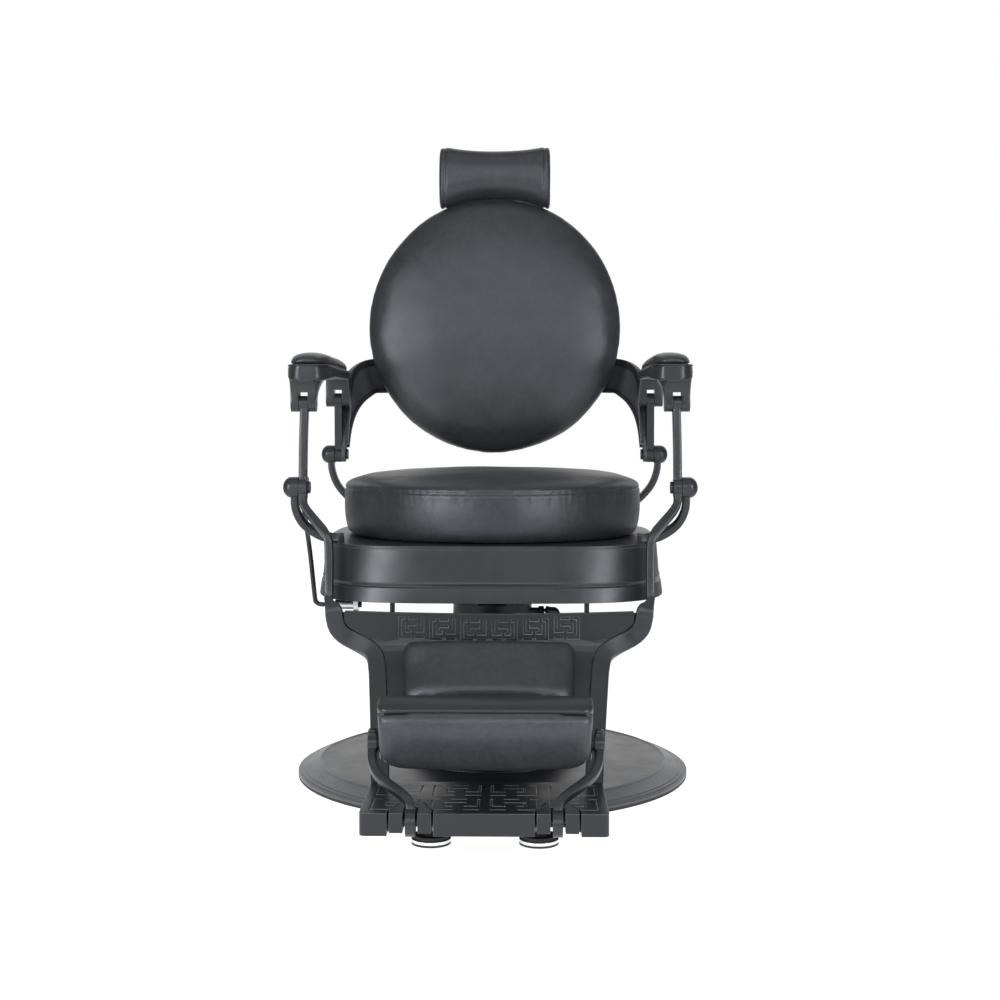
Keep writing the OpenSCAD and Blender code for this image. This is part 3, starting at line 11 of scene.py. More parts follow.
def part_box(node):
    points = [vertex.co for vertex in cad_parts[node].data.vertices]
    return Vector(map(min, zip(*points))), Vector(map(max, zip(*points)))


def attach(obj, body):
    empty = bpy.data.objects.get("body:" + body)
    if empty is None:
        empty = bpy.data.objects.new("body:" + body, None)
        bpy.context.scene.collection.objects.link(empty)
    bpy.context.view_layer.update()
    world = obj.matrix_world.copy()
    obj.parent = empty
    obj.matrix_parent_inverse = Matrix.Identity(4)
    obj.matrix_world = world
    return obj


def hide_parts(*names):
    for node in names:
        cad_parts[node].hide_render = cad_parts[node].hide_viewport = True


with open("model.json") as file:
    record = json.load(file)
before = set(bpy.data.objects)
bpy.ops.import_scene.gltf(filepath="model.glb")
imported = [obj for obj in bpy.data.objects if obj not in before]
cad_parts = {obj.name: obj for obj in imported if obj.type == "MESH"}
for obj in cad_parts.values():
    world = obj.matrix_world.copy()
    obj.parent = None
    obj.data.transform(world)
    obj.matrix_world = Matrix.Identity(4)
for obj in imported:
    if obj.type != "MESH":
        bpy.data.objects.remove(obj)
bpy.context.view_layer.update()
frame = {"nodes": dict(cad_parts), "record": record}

bl_info = {
    "name": "Barber Chair",
    "version": (1, 0, 0),
    "blender": (4, 5, 0),
    "location": "3D View > Sidebar > Barber Chair",
    "description": "Upholstery, finishes and studio for the barber chair",
    "category": "Object",
}

SOLIDS = frame["nodes"]
SIDES = (("left", 1), ("right", -1))
# Vertices of a solid nearer than this are one
WELD = 2e-5
# Degrees from which an edge of a casting stays sharp
EDGE_ANGLE = 34

# The middle of a noise's range, the tints of reflections and the dust on a coat
MIDDLE = (0.3, 0.7)
LEATHER_TINT = (0.86, 0.92, 1, 1)
COAT_TINT = (0.88, 0.93, 1, 1)
DUST = (0.7, 0.7, 0.72, 1)
KNOB_BLACK = (0.012, 0.012, 0.013)

# The cloth that swells a pad, and its steps
CLOTH = {
    "quality": 5, "mass": 0.3, "tension_stiffness": 12, "compression_stiffness": 12,
    "shear_stiffness": 5, "bending_stiffness": 0.6, "use_pressure": True,
}
SWELL_STEPS = 20
# Turns that even out the swelling, and the shares of a point and its neighbours
EVEN_TURNS = 12
OWN_SHARE, NEAR_SHARE = 0.4, 0.6
# The raised leather beside a seam: distance and width in seam widths, height in seam depths
LIP_AWAY, LIP_WIDE, LIP_HIGH = 2.4, 1.4, 0.22
# A stitch: stations along half its length, girth at its ends, lift and dip in thread radii
STITCH_STATIONS = (-1, -0.72, 0, 0.72, 1)
STITCH_ENDS, STITCH_LIFT, STITCH_DIP, STITCH_SIDES = 0.35, 0.3, 1.1, 6
CORD_SIDES, CORD_PUCKER, CORD_PACE = 10, 0.05, 1.9

# The seat's seam above the cushion's foot, its fold's reach, and the thread below a seam
SEAT_SEAM, SEAT_FOLD, THREAD_BELOW = 0.081, 0.006, 0.0035
BACK_MIDDLE = (0, 0.236, 0.782)
BACK_LEAN = 5
# The back's cord: in from the cushion's radius, behind its middle, and the cord's radius
CORD_IN, CORD_BEHIND, CORD_RADIUS = 0.0265, 0.0225, 0.0032
# The headrest's seams in from its ends, and the degrees round it that are sewn
HEAD_SEAM = 0.0105
HEAD_SEWN = (-20, 200)
# How far outside a pad a ray starts, in shares of its size
OUTSIDE = 1.3
# How far the leg rest's panel comes forward for each metre down
PANEL_SLOPE = 0.6

FOOTREST_AXIS = (0, -0.515, 0.1575)
FOOTREST_LEAN = 25
FOOTREST_HALF = 0.1475
# The footrest's shell on its own axes: thickness, bottom and top
FOOTREST_SHELL = (0.04, -0.02, 0.064)
TREAD_CLEARANCE = 0.0686
# How much wider the cast top is than the shell, and its rim: down from the top, and in
TRAY_OVER = 0.0012
TRAY_RIM = ((0.0035, 0), (0.001, 0.0009), (0, 0.0032))
# The trunnion eyes' place and top, and the stop blocks on them
EYE_X, EYE_TOP = 0.158, 0.0128
STOP_FOOT, STOP_CAP, STOP_DEPTH, STOP_ROUND = 0.0132, 0.0112, 0.015, 0.002
STOP_SUNK, STOP_SPLIT, STOP_EDGE = 0.003, 0.45, 0.0008

# The back bracket's middle line: its ends, the shares between them on each axis, and its heights
BRACKET_ROOT = (0.1735, 0.27625, 0.69)
BRACKET_FOOT = (0.27825, 0.17, 0.542)
BRACKET_SHARES = (
    (0, 0, 0), (0.34, 0.015, 0), (0.64, 0.115, 0.02), (0.83, 0.345, 0.14),
    (0.92, 0.595, 0.34), (0.975, 0.82, 0.635), (1, 1, 1))
BRACKET_TALL = (0.066, 0.028)
BRACKET_THIN = 0.0065
# Its ribs: stations left out at the ends, the upper's extra width, the taper and the rounding
RIB_FROM, RIB_TO = 4, -3
RIB_UPPER, RIB_TAPER, RIB_ROUND = 1.5, 0.35, 0.0016

# The seam between a front lever and the leg rest, filled with a dark tube that is painted shade
SEAM_ROUTE = (
    (0.2247, -0.287, 0.31), (0.2234, -0.287, 0.3), (0.2194, -0.287, 0.29), (0.2056, -0.287, 0.28),
    (0.1853, -0.2871, 0.27), (0.1709, -0.2896, 0.26), (0.1633, -0.2942, 0.25),
    (0.1598, -0.2997, 0.24), (0.1577, -0.3059, 0.23), (0.156, -0.3127, 0.22),
    (0.1537, -0.3278, 0.2), (0.1513, -0.3445, 0.18), (0.149, -0.3625, 0.16))

# A cast arm seen from above: its middle, front, back and rim, its widths and its blunt ends
ARM_MIDDLE = 0.2875
ARM_FRONT, ARM_BACK, ARM_RIM = -0.262, 0.184, 0.694
ARM_WIDTH = (0.075, 0.046)
ARM_BLUNT, ARM_POWER, ARM_ROUND, ARM_SPACING = 0.2, 8, 0.385, 0.6
# The bead's points, and how far it lies in and down from the arm's edge
BEAD_POINTS, BEAD_IN, BEAD_DOWN = 180, 0.0012, 0.0008

# The lamps: name, place, size, the setting of their power, and their share of it
LAMPS = (
    ("side_lamp_right", (-1.8, -2.4, 1.0), (0.9, 1.5), "side_power", 1),
    ("side_lamp_left", (1.8, -2.4, 1.0), (0.9, 1.5), "side_power", 0.75),
    ("front_lamp", (0, -3.4, 1.9), (1.4, 1.2), "front_power", 1),
    ("top_lamp", (0, -0.9, 2.9), (2.2, 1.6), "top_power", 1),
)
LAMPS_AIM = (0, 0, 0.6)
FILM = 36
FLOOR_RADIUS = 9
# Where reflections of the floor and the room fade in and dim to the sides, the share of the
# height in it, and their level at the sides
FLOOR_FADE, FLOOR_SIDES = (-3, -1.5), (0.5, 1.6)
ROOM_FADE, ROOM_SIDES = (0.75, 0.99), (9, 10)
RISE_SHARE, SIDE_LEVEL = 0.45, 0.2


def number(name, description, default, least, most, **kind):
    """A setting with its name, what it means, its default and its range."""
    return bpy.props.FloatProperty(
        name=name, description=description, default=default, min=least, max=most, **kind)


def metres(*told):
    """A setting that is a length."""
    return number(*told, subtype="DISTANCE", unit="LENGTH")


def paint(name, description, default):
    """A setting that is a colour."""
    return bpy.props.FloatVectorProperty(
        name=name, description=description, default=default, min=0, max=1, subtype="COLOR")


class ChairUpholstery(bpy.types.PropertyGroup):
    """Sizes and colours of the leather, its padding and its sewing"""

    leather: paint("Leather", "Main colour of the leather", (0.017, 0.018, 0.0212))
    leather_worn: paint(
        "Lighter leather", "Colour where the grain catches light", (0.024, 0.0254, 0.0295))
    thread: paint("Thread", "Colour of the sewing thread", (0.02, 0.021, 0.023))
    grain: number("Grain", "Leather cells in a metre", 620, 50, 3000)
    voxel: metres(
        "Mesh step", "Edge length of a pad's mesh before it is divided", 0.0055, 0.003, 0.02)
    drawn_in: metres("Drawn in", "How much smaller a pad starts before it swells", 0.003, 0, 0.02)
    swell: number("Swell", "Pressure inside a pad", 4, 0, 20)
    swell_limit: metres(
        "Swell limit", "How far a point of a pad may move as it swells", 0.024, 0, 0.05)
    proud: metres("Proud", "How far leather may stand out of its solid", 0.0012, 0, 0.01)
    back_rise: metres(
        "Back rise", "How far the filling lifts the top of the back's cushion", 0.0085, 0, 0.015)
    back_fall: metres(
        "Back fall", "How far it lowers the bottom of the back's cushion", 0.0015, 0, 0.015)
    calf_corner: metres(
        "Calf corner", "Radius added to the corners of the calf pad", 0.02, 0.001, 0.05)
    swell_share: number(
        "Swell share", "Share of the simulated swelling that the pad keeps", 0.35, 0, 1,
        subtype="FACTOR")
    slack: metres("Slack", "How far leather may sink below its smooth form", 0.0009, 0, 0.02)
    seam_width: metres("Seam width", "Width of the fold that a seam makes", 0.003, 0.001, 0.01)
    seam_depth: metres("Seam depth", "Depth of the fold that a seam makes", 0.0016, 0, 0.006)
    stitch: metres("Stitch", "Length of one stitch", 0.0036, 0.001, 0.01)
    stitch_gap: metres("Stitch gap", "Gap between two stitches", 0.002, 0.0005, 0.01)
    thread_r: metres("Thread radius", "Radius of the sewing thread", 0.00045, 0.0001, 0.002)


class ChairMetal(bpy.types.PropertyGroup):
    """Colours and texture of the coated castings and the bright parts"""

    coat: paint("Coat", "Colour of the coated castings", (0.016, 0.0168, 0.0195))
    # Edges of castings: partly wear, partly a painted highlight
    edge_wear_and_highlight: paint("Coat edge", "Colour of the coat on rubbed edges", (0.19, 0.192, 0.2))
    base_coat: paint("Base coat", "Colour of the coat on the base", (0.022, 0.0228, 0.0255))
    rubber: paint("Rubber", "Colour of rubber parts", (0.012, 0.012, 0.013))
    bright: paint("Bright metal", "Colour of plated metal", (0.78, 0.79, 0.81))
    grooves: number("Grooves", "Scale of the turned grooves on the base's rim", 75, 0, 500)
    edge_round: metres("Edge round", "Rounding seen on the edges of castings", 0.0012, 0, 0.005)
    peel: number("Coat texture", "Bumps of the coat in a metre", 900, 50, 4000)


class ChairTrim(bpy.types.PropertyGroup):
    """Sizes of the small castings that are dressed on the frame"""

    tray_rise: metres(
        "Tray rise", "Height of the footrest's cast top above its shell", 0.0065, 0, 0.01)
    tray_wrap: metres(
        "Tray wrap", "How far the cast top reaches down over the shell", 0.011, 0.002, 0.03)
    tray_corner: metres(
        "Tray corner", "Radius of the cast top's corners, seen from above", 0.016, 0.002, 0.02)
    pad_corner: metres(
        "Footrest corner", "Radius of the footrest cushion's lower corners", 0.026, 0.002, 0.04)
    pad_bow: metres(
        "Footrest bow", "How far the footrest cushion's lower edge rises to its ends",
        0.005, 0, 0.02)
    pad_flat: number(
        "Footrest flatness", "How much the front of the footrest cushion is flattened", 0.8, 0, 0.9,
        subtype="FACTOR")
    flange: metres(
        "Bracket flange", "Height of the ribs along the back brackets", 0.009, 0.002, 0.02)
    flange_proud: metres(
        "Flange rise", "How far those ribs stand out of the bracket's web", 0.0045, 0, 0.01)
    rim_bead: metres(
        "Arm rim bead", "Radius of the bead round the top of the arms", 0.0016, 0.0005, 0.005)
    # A dark tube laid in each seam: painted shade
    filler: metres(
        "Seam filler", "Radius of the filler between the front levers and the leg-rest panel",
        0.0019, 0.0005, 0.004)
    stop_h: metres(
        "Stop cap", "Height of the stop caps on the footrest's trunnion eyes", 0.007, 0.002, 0.02)


class ChairStudio(bpy.types.PropertyGroup):
    """The camera's place and the level of the lamps"""

    distance: metres("Distance", "Camera to the column's axis", 2.6, 1, 10)
    height: metres("Height", "Camera above the floor", 0.6165, 0, 3)
    azimuth: number(
        "Azimuth", "Camera round the chair, from straight in front", math.radians(1.05), -math.pi,
        math.pi, subtype="ANGLE", unit="ROTATION")
    shift_x: number(
        "Shift across", "How far the chair stands left of the frame's middle, of its width", 0.0075,
        -0.2, 0.2)
    shift_y: number(
        "Shift down", "How far the level camera's horizon lies above the frame's middle", -0.086,
        -0.2, 0.2)
    lens: number(
        "Lens", "Focal length in millimetres on a 36 mm film", 53.9, 20, 200, unit="CAMERA")
    side_power: number("Side lamps", "Power of each side lamp", 60, 0, 500, unit="POWER")
    front_power: number(
        "Front lamp", "Power of the large lamp behind the camera", 24, 0, 500, unit="POWER")
    top_power: number("Top lamp", "Power of the lamp overhead", 8, 0, 500, unit="POWER")
    sky: number("Room light", "Level of the light from all sides", 0.25, 0, 2)
    floor: number("Floor lift", "Brightness added to the floor for the camera", 0.88, 0, 2)


class ChairSettings(bpy.types.PropertyGroup):
    """All settings of the barber chair"""

    upholstery: bpy.props.PointerProperty(type=ChairUpholstery)
    metal: bpy.props.PointerProperty(type=ChairMetal)
    trim: bpy.props.PointerProperty(type=ChairTrim)
    studio: bpy.props.PointerProperty(type=ChairStudio)


# Finishes


def feed(tree, node, values):
    """Sets a node's inputs, or links them where the value is another node's output."""
    for key, value in values.items():
        if isinstance(value, bpy.types.NodeSocket):
            tree.links.new(value, node.inputs[key])
        else:
            node.inputs[key].default_value = value


def add(tree, kind, values=None, **settings):
    """A node with its own settings and its inputs' values."""
    made = tree.nodes.new(kind)
    for key, value in settings.items():
        setattr(made, key, value)
    feed(tree, made, values or {})
    return made


def emptied(owner):
    """The empty node tree of a material or a world."""
    owner.use_nodes = True
    owner.node_tree.nodes.clear()
    return owner.node_tree


def new_finish(name):
    """A material with only a principled shader: the material, its tree and the shader."""
    material = bpy.data.materials.new(name)
    tree = emptied(material)
    shader = add(tree, "ShaderNodeBsdfPrincipled")
    add(tree, "ShaderNodeOutputMaterial", {"Surface": shader.outputs["BSDF"]})
    return material, tree, shader


def maths(tree, operation, *values, clamp=False):
    """What a math node makes of numbers or fields."""
    return add(tree, "ShaderNodeMath", dict(enumerate(values)),
        operation=operation, use_clamp=clamp).outputs[0]


def place_of(tree, scale=(1, 1, 1)):
    """Object coordinates, stretched by a scale."""
    coords = add(tree, "ShaderNodeTexCoord").outputs["Object"]
    return add(tree, "ShaderNodeMapping", {"Vector": coords, "Scale": scale}).outputs["Vector"]


def noise_field(tree, place, scale, detail=3.0, rough=0.55):
    """Noise at a place, from nought to one."""
    return add(tree, "ShaderNodeTexNoise", {
        "Vector": place, "Scale": scale, "Detail": detail, "Roughness": rough}).outputs["Fac"]


def spread(tree, field, low, high, out_low, out_high):
    """A field's range mapped onto another, and held inside it."""
    return add(tree, "ShaderNodeMapRange", {
        "Value": field, "From Min": low, "From Max": high,
        "To Min": out_low, "To Max": out_high}).outputs["Result"]


def two_tone(tree, field, first, second):
    """One colour where a field is nought and another where it is one."""
    return add(tree, "ShaderNodeMix", {
        "Factor": field, "A": (*first, 1), "B": (*second, 1)}, data_type="RGBA").outputs["Result"]


def toned(colour, level):
    """A colour made lighter or darker."""
    return tuple(c * level for c in colour)


def bumped(tree, field, strength, distance, below=None):
    """The normal that a field's height gives, on top of the normal below it."""
    values = {"Height": field, "Strength": strength, "Distance": distance}
    if below is not None:
        values["Normal"] = below
    return add(tree, "ShaderNodeBump", values).outputs["Normal"]


def leather_finish(name, looks, tone=1.0):
    """Black leather with pebbled grain, soft mottling and an uneven sheen."""
    material, tree, shader = new_finish(name)
    place = place_of(tree)
    broad = noise_field(tree, place, 34, 4)
    patches = noise_field(tree, place, 150, 3, 0.6)
    pores = noise_field(tree, place, looks.grain * 2.2, 2)
    cells = add(tree, "ShaderNodeTexVoronoi", {
        "Vector": place, "Scale": looks.grain, "Randomness": 1.0}, feature="DISTANCE_TO_EDGE")
    pebbles = spread(tree, cells.outputs["Distance"], 0, 0.28, 0, 1)
    mottling = spread(tree, maths(tree, "MULTIPLY", broad, patches), 0.16, 0.36, 0, 1)
    normal = None
    for field, strength, distance in (
            (broad, 0.07, 0.003), (patches, 0.16, 0.0006),
            (pebbles, 0.3, 0.0002), (pores, 0.16, 0.0001)):
        normal = bumped(tree, field, strength, distance, normal)
    feed(tree, shader, {
        "Base Color": two_tone(
            tree, mottling, toned(looks.leather, tone), toned(looks.leather_worn, tone)),
        "Roughness": spread(tree, patches, *MIDDLE, 0.35, 0.41), "Normal": normal,
        "Specular IOR Level": 0.5, "Specular Tint": LEATHER_TINT,
        "Sheen Weight": 0.03, "Sheen Roughness": 0.4})
    return material


def thread_finish(looks):
    """Twisted sewing thread."""
    material, tree, shader = new_finish("thread_finish")
    twist = noise_field(tree, place_of(tree), 3200, 2)
    feed(tree, shader, {
        "Base Color": two_tone(tree, twist, looks.thread, toned(looks.thread, 1.6)),
        "Roughness": 0.62, "Normal": bumped(tree, twist, 0.4, 0.0002)})
    return material


def coat_finish(name, looks, colour, rough, peel=0.2, edge=1.0, metal=0.0, grooves=0):
    """Powder coat on cast iron: fine peel, uneven gloss, worn edges with a painted highlight, and,
    if asked, grooves.
    """
    material, tree, shader = new_finish(name)
    place = place_of(tree)
    clouds = noise_field(tree, place, 26, 4)
    fine = noise_field(tree, place, looks.peel, 3, 0.6)
    face = add(tree, "ShaderNodeBevel", {"Radius": looks.edge_round}, samples=6).outputs["Normal"]
    flat = add(tree, "ShaderNodeNewGeometry").outputs["Normal"]
    turned = add(tree, "ShaderNodeVectorMath", {0: face, 1: flat}, operation="DOT_PRODUCT")
    # Edges, found from the bevelled normal, take a lighter colour: partly wear, partly a painted
    # highlight; edge scales it
    rubbed_and_lit = spread(tree, turned.outputs["Value"], 0.98, 0.84, 0, 0.7 * edge)
    broken = maths(tree, "MULTIPLY", rubbed_and_lit, spread(tree, clouds, 0.35, 0.6, 0.35, 1))
    dusty = add(tree, "ShaderNodeMix", {
        "Factor": spread(tree, clouds, *MIDDLE, 0, 0.25),
        "A": two_tone(tree, broken, colour, looks.edge_wear_and_highlight), "B": DUST,
    }, data_type="RGBA", blend_type="MULTIPLY")
    if grooves:
        turning = add(tree, "ShaderNodeTexWave", {"Vector": place, "Scale": grooves},
            wave_type="RINGS", rings_direction="Z")
        face = bumped(tree, turning.outputs["Fac"], 0.5, 0.0006, face)
    feed(tree, shader, {
        "Base Color": dusty.outputs["Result"], "Metallic": metal, "Specular Tint": COAT_TINT,
        "Roughness": spread(tree, clouds, *MIDDLE, rough - 0.04, rough + 0.05),
        "Normal": bumped(tree, fine, peel, 0.00025, face)})
    return material


def plated_finish(name, looks, colour, rough):
    """Plated or ground metal with fine turning marks."""
    material, tree, shader = new_finish(name)
    marks = noise_field(tree, place_of(tree, (1, 1, 9)), 700)
    smudge = noise_field(tree, place_of(tree), 60)
    rounding = add(tree, "ShaderNodeBevel", {"Radius": looks.edge_round / 2}, samples=4)
    feed(tree, shader, {
        "Base Color": two_tone(tree, smudge, colour, toned(colour, 0.86)), "Metallic": 1.0,
        "Roughness": spread(tree, smudge, *MIDDLE, rough, rough + 0.08),
        "Normal": bumped(tree, marks, 0.08, 0.0001, rounding.outputs["Normal"])})
    return material


def rubber_finish(name, looks, tone=1.0):
    """Matt moulded rubber."""
    material, tree, shader = new_finish(name)
    place = place_of(tree)
    grit = noise_field(tree, place, 1300)
    bloom = noise_field(tree, place, 40)
    dark = toned(looks.rubber, tone)
    feed(tree, shader, {
        "Base Color": two_tone(tree, bloom, dark, toned(dark, 1.7)),
        "Roughness": spread(tree, bloom, *MIDDLE, 0.6, 0.78),
        "Normal": bumped(tree, grit, 0.3, 0.0002)})
    return material


def gloss_finish(name, colour, rough):
    """Moulded glossy plastic."""
    material, tree, shader = new_finish(name)
    swirl = noise_field(tree, place_of(tree), 90, 2)
    feed(tree, shader, {
        "Base Color": two_tone(tree, swirl, colour, toned(colour, 1.25)),
        "Roughness": spread(tree, swirl, *MIDDLE, rough, rough + 0.05),
        "Normal": bumped(tree, swirl, 0.05, 0.0004), "Coat Weight": 0.3, "Coat Roughness": 0.1})
    return material


# Meshes


def link(obj):
    """Puts an object into the scene."""
    bpy.context.scene.collection.objects.link(obj)
    return obj


def points_of(mesh):
    """A mesh's points, one in each row."""
    co = np.empty(len(mesh.vertices) * 3)
    mesh.vertices.foreach_get("co", co)
    return co.reshape(-1, 3)


def set_points(mesh, points):
    """Moves a mesh's points."""
    mesh.vertices.foreach_set("co", np.ascontiguousarray(points, float).ravel())
    mesh.update()


def shaded(mesh, smooth=True):
    """Shades a mesh smooth or flat."""
    for polygon in mesh.polygons:
        polygon.use_smooth = smooth


def normals_of(mesh):
    """The normals at a mesh's points."""
    out = np.empty(len(mesh.vertices) * 3)
    mesh.vertex_normals.foreach_get("vector", out)
    return out.reshape(-1, 3)


def applied(obj):
    """Bakes an object's modifiers into its mesh."""
    made = bpy.data.meshes.new_from_object(obj.evaluated_get(bpy.context.evaluated_depsgraph_get()))
    obj.modifiers.clear()
    obj.data = made
    return obj


def relaxed(mesh, points, turns):
    """Points moved towards the mean of their neighbours, a number of turns."""
    edges = np.empty(len(mesh.edges) * 2, int)
    mesh.edges.foreach_get("vertices", edges)
    a, b = edges.reshape(-1, 2).T
    count = np.bincount(np.r_[a, b], minlength=len(points))
    count = np.maximum(count, 1)[:, None]
    for _ in range(turns):
        total = np.zeros_like(points)
        np.add.at(total, a, points[b])
        np.add.at(total, b, points[a])
        points = points * OWN_SHARE + total / count * NEAR_SHARE
    return points


def swollen(obj, looks, pinned):
    """Swells a closed pad with Blender's Cloth; pinned(point) says which points are glued down."""
    rest = points_of(obj.data)
    group = obj.vertex_groups.new(name="glued")
    glued = [i for i, p in enumerate(rest) if pinned(p)]
    if glued:
        group.add(glued, 1.0, "REPLACE")
    cloth = obj.modifiers.new("Swell", "CLOTH")
    for key, value in CLOTH.items():
        setattr(cloth.settings, key, value)
    cloth.settings.uniform_pressure_force = looks.swell
    cloth.settings.effector_weights.gravity = 0
    if glued:
        cloth.settings.vertex_group_mass = group.name
    cloth.point_cache.frame_start = 1
    cloth.point_cache.frame_end = SWELL_STEPS
    scene = bpy.context.scene
    for step in range(1, SWELL_STEPS + 1):
        scene.frame_set(step)
    applied(obj)
    scene.frame_set(1)
    moved = points_of(obj.data) - rest
    length = np.linalg.norm(moved, axis=1, keepdims=True)
    held = np.minimum(1, looks.swell_limit / np.maximum(length, 1e-9))
    set_points(obj.data, rest + moved * held)


def padded_copy(node, name, looks, pinned, step=1.0, relax=7):
    """A pad made from its solid, remeshed, evened out and divided.

    A share of the swelling that Cloth gives it is added along its normals and evened out.
    """
    mesh = SOLIDS[node].data.copy()
    mesh.name = name
    mesh.materials.clear()
    obj = link(bpy.data.objects.new(name, mesh))
    shape = bmesh.new()
    shape.from_mesh(mesh)
    bmesh.ops.remove_doubles(shape, verts=shape.verts, dist=WELD)
    shape.to_mesh(mesh)
    shape.free()
    remesh = obj.modifiers.new("Even", "REMESH")
    remesh.mode = "VOXEL"
    remesh.voxel_size = looks.voxel * step
    applied(obj)
    points = relaxed(obj.data, points_of(obj.data), relax)
    set_points(obj.data, points)
    normals = normals_of(obj.data)
    set_points(obj.data, points - normals * looks.drawn_in)
    swollen(obj, looks, pinned)
    rise = np.sum((points_of(obj.data) - points) * normals, axis=1, keepdims=True)
    rise = np.clip(rise * looks.swell_share, -looks.slack, looks.proud)
    set_points(obj.data, points + normals * relaxed(obj.data, rise, EVEN_TURNS))
    divide = obj.modifiers.new("Divide", "SUBSURF")
    divide.levels = divide.render_levels = 1
    applied(obj)
    shaded(obj.data)
    return obj


def pressed(obj, depth_at):
    """Moves each point along its normal by depth_at(point)."""
    points, normals = points_of(obj.data), normals_of(obj.data)
    set_points(obj.data, points + normals * np.array([depth_at(p) for p in points])[:, None])


def fold(distance, looks):
    """Depth of a seam's fold at a distance from it, with the leather raised beside it."""
    near = math.exp(-(distance / looks.seam_width) ** 2)
    away = abs(distance) - LIP_AWAY * looks.seam_width
    lip = math.exp(-(away / (LIP_WIDE * looks.seam_width)) ** 2)
    return -looks.seam_depth * near + LIP_HIGH * looks.seam_depth * lip


def wave(p, size, height, seed):
    """A gentle unevenness of the leather."""
    return height * noise.noise(Vector((p[0] / size + seed, p[1] / size, p[2] / size)))


def surface_tree(obj):
    """A search tree of an object's faces."""
    mesh = obj.data
    return BVHTree.FromPolygons(
        [v.co for v in mesh.vertices], [tuple(p.vertices) for p in mesh.polygons])


def along(route, step):
    """Points at even steps along a route."""
    route = np.array(route, float)
    lengths = np.r_[0, np.cumsum(np.linalg.norm(np.diff(route, axis=0), axis=1))]
    count = max(int(lengths[-1] / step), 2)
    at = np.linspace(0, lengths[-1], count + 1)
    return np.stack([np.interp(at, lengths, route[:, k]) for k in range(3)], axis=1)


def skin(shape, rings, ends=True):
    """Faces between neighbouring rings of vertices, and over both ends."""
    count = len(rings[0])
    for one, two in zip(rings[:-1], rings[1:]):
        for k in range(count):
            shape.faces.new((one[k], one[(k + 1) % count], two[(k + 1) % count], two[k]))
    if ends:
        shape.faces.new(rings[0][::-1])
        shape.faces.new(rings[-1])


def mesh_object(name, shape, smooth=True):
    """An object made of a finished shape."""
    mesh = bpy.data.meshes.new(name)
    bmesh.ops.recalc_face_normals(shape, faces=shape.faces)
    shape.to_mesh(mesh)
    shape.free()
    shaded(mesh, smooth)
    return link(bpy.data.objects.new(name, mesh))


def round_ring(shape, centre, side, up, girth, sides):
    """A round ring of vertices."""
    return [
        shape.verts.new(centre + (side * math.cos(q) + up * math.sin(q)) * girth)
        for q in (2 * math.pi * k / sides for k in range(sides))]


def stitches(name, route, on, looks):
    """Stitches along a route, laid on a surface."""
    shape = bmesh.new()
    places = along(route, looks.stitch + looks.stitch_gap)
    r = looks.thread_r
    half = looks.stitch / 2
    for a, b in zip(places[:-1], places[1:]):
        near, normal, _, _ = on.find_nearest(Vector((a + b) / 2))
        run = Vector(b - a)
        run = (run - normal * run.dot(normal)).normalized()
        side = normal.cross(run)
        rings = []
        for t in STITCH_STATIONS:
            girth = r * (STITCH_ENDS if abs(t) == 1 else 1)
            centre = near + run * (half * t) + normal * (r * (STITCH_LIFT - STITCH_DIP * t * t))
            rings.append(round_ring(shape, centre, side, normal, girth, STITCH_SIDES))
        skin(shape, rings)
    return mesh_object(name, shape)


def welt(name, route, radius, closed=True):
    """A sewn cord along a route: a tube with slight puckers."""
    shape = bmesh.new()
    route = [Vector(p) for p in route]
    count = len(route)
    rings = []
    for i, p in enumerate(route):
        before = route[i - 1] if closed or i else p
        after = route[(i + 1) % count] if closed or i < count - 1 else p
        run = (after - before).normalized()
        side = run.cross(Vector((0, 0, 1)) if abs(run.z) < 0.9 else Vector((0, 1, 0))).normalized()
        girth = radius * (1 + CORD_PUCKER * math.sin(i * CORD_PACE))
        rings.append(round_ring(shape, p, side, side.cross(run), girth, CORD_SIDES))
    if closed:
        first = rings[0]
        turn = min(range(CORD_SIDES), key=lambda t: (rings[-1][0].co - first[t].co).length)
        rings.append([first[(k + turn) % CORD_SIDES] for k in range(CORD_SIDES)])
    skin(shape, rings, not closed)
    return mesh_object(name, shape)


def lofted(name, rings):
    """A closed skin over rings of points."""
    shape = bmesh.new()
    skin(shape, [[shape.verts.new(p) for p in points] for points in rings])
    return mesh_object(name, shape)


def rounded(width, depth, radius, steps=6):
    """A rounded rectangle about the origin."""
    out = []
    for quarter, (sx, sy) in enumerate(((1, 1), (-1, 1), (-1, -1), (1, -1))):
        for k in range(steps + 1):
            a = math.radians(90 * (quarter + k / steps))
            out.append((sx * (width / 2 - radius) + radius * math.cos(a),
                sy * (depth / 2 - radius) + radius * math.sin(a)))
    return out


def stacked(levels, width, depth, radius, steps=6):
    """Rounded rectangles at levels, each a height and an inset."""
    return [
        [(x, y, z) for x, y in rounded(
            width - 2 * inset, depth - 2 * inset, radius - inset, steps)]
        for z, inset in levels]


def curve_through(points, steps):
    """A Catmull-Rom curve through points."""
    points = [Vector(p) for p in points]
    out = []
    for i in range(len(points) - 1):
        a, b, c = points[max(i - 1, 0)], points[i], points[i + 1]
        d = points[min(i + 2, len(points) - 1)]
        for k in range(steps):
            t = k / steps
            out.append((2 * b + (c - a) * t + (2 * a - 5 * b + 4 * c - d) * t ** 2
                + (3 * b - a - 3 * c + d) * t ** 3) / 2)
    return out + [points[-1]]


def eased(t):
    """A soft step from nought to one."""
    t = min(max(t, 0), 1)
    return t * t * (3 - 2 * t)


def corner_cut(x, half, radius):
    """How far a round corner cuts in at a distance x from the middle of a pad."""
    into = min(max(abs(x) - half + radius, 0), radius * 0.995)
    return radius - math.sqrt(radius ** 2 - into ** 2)


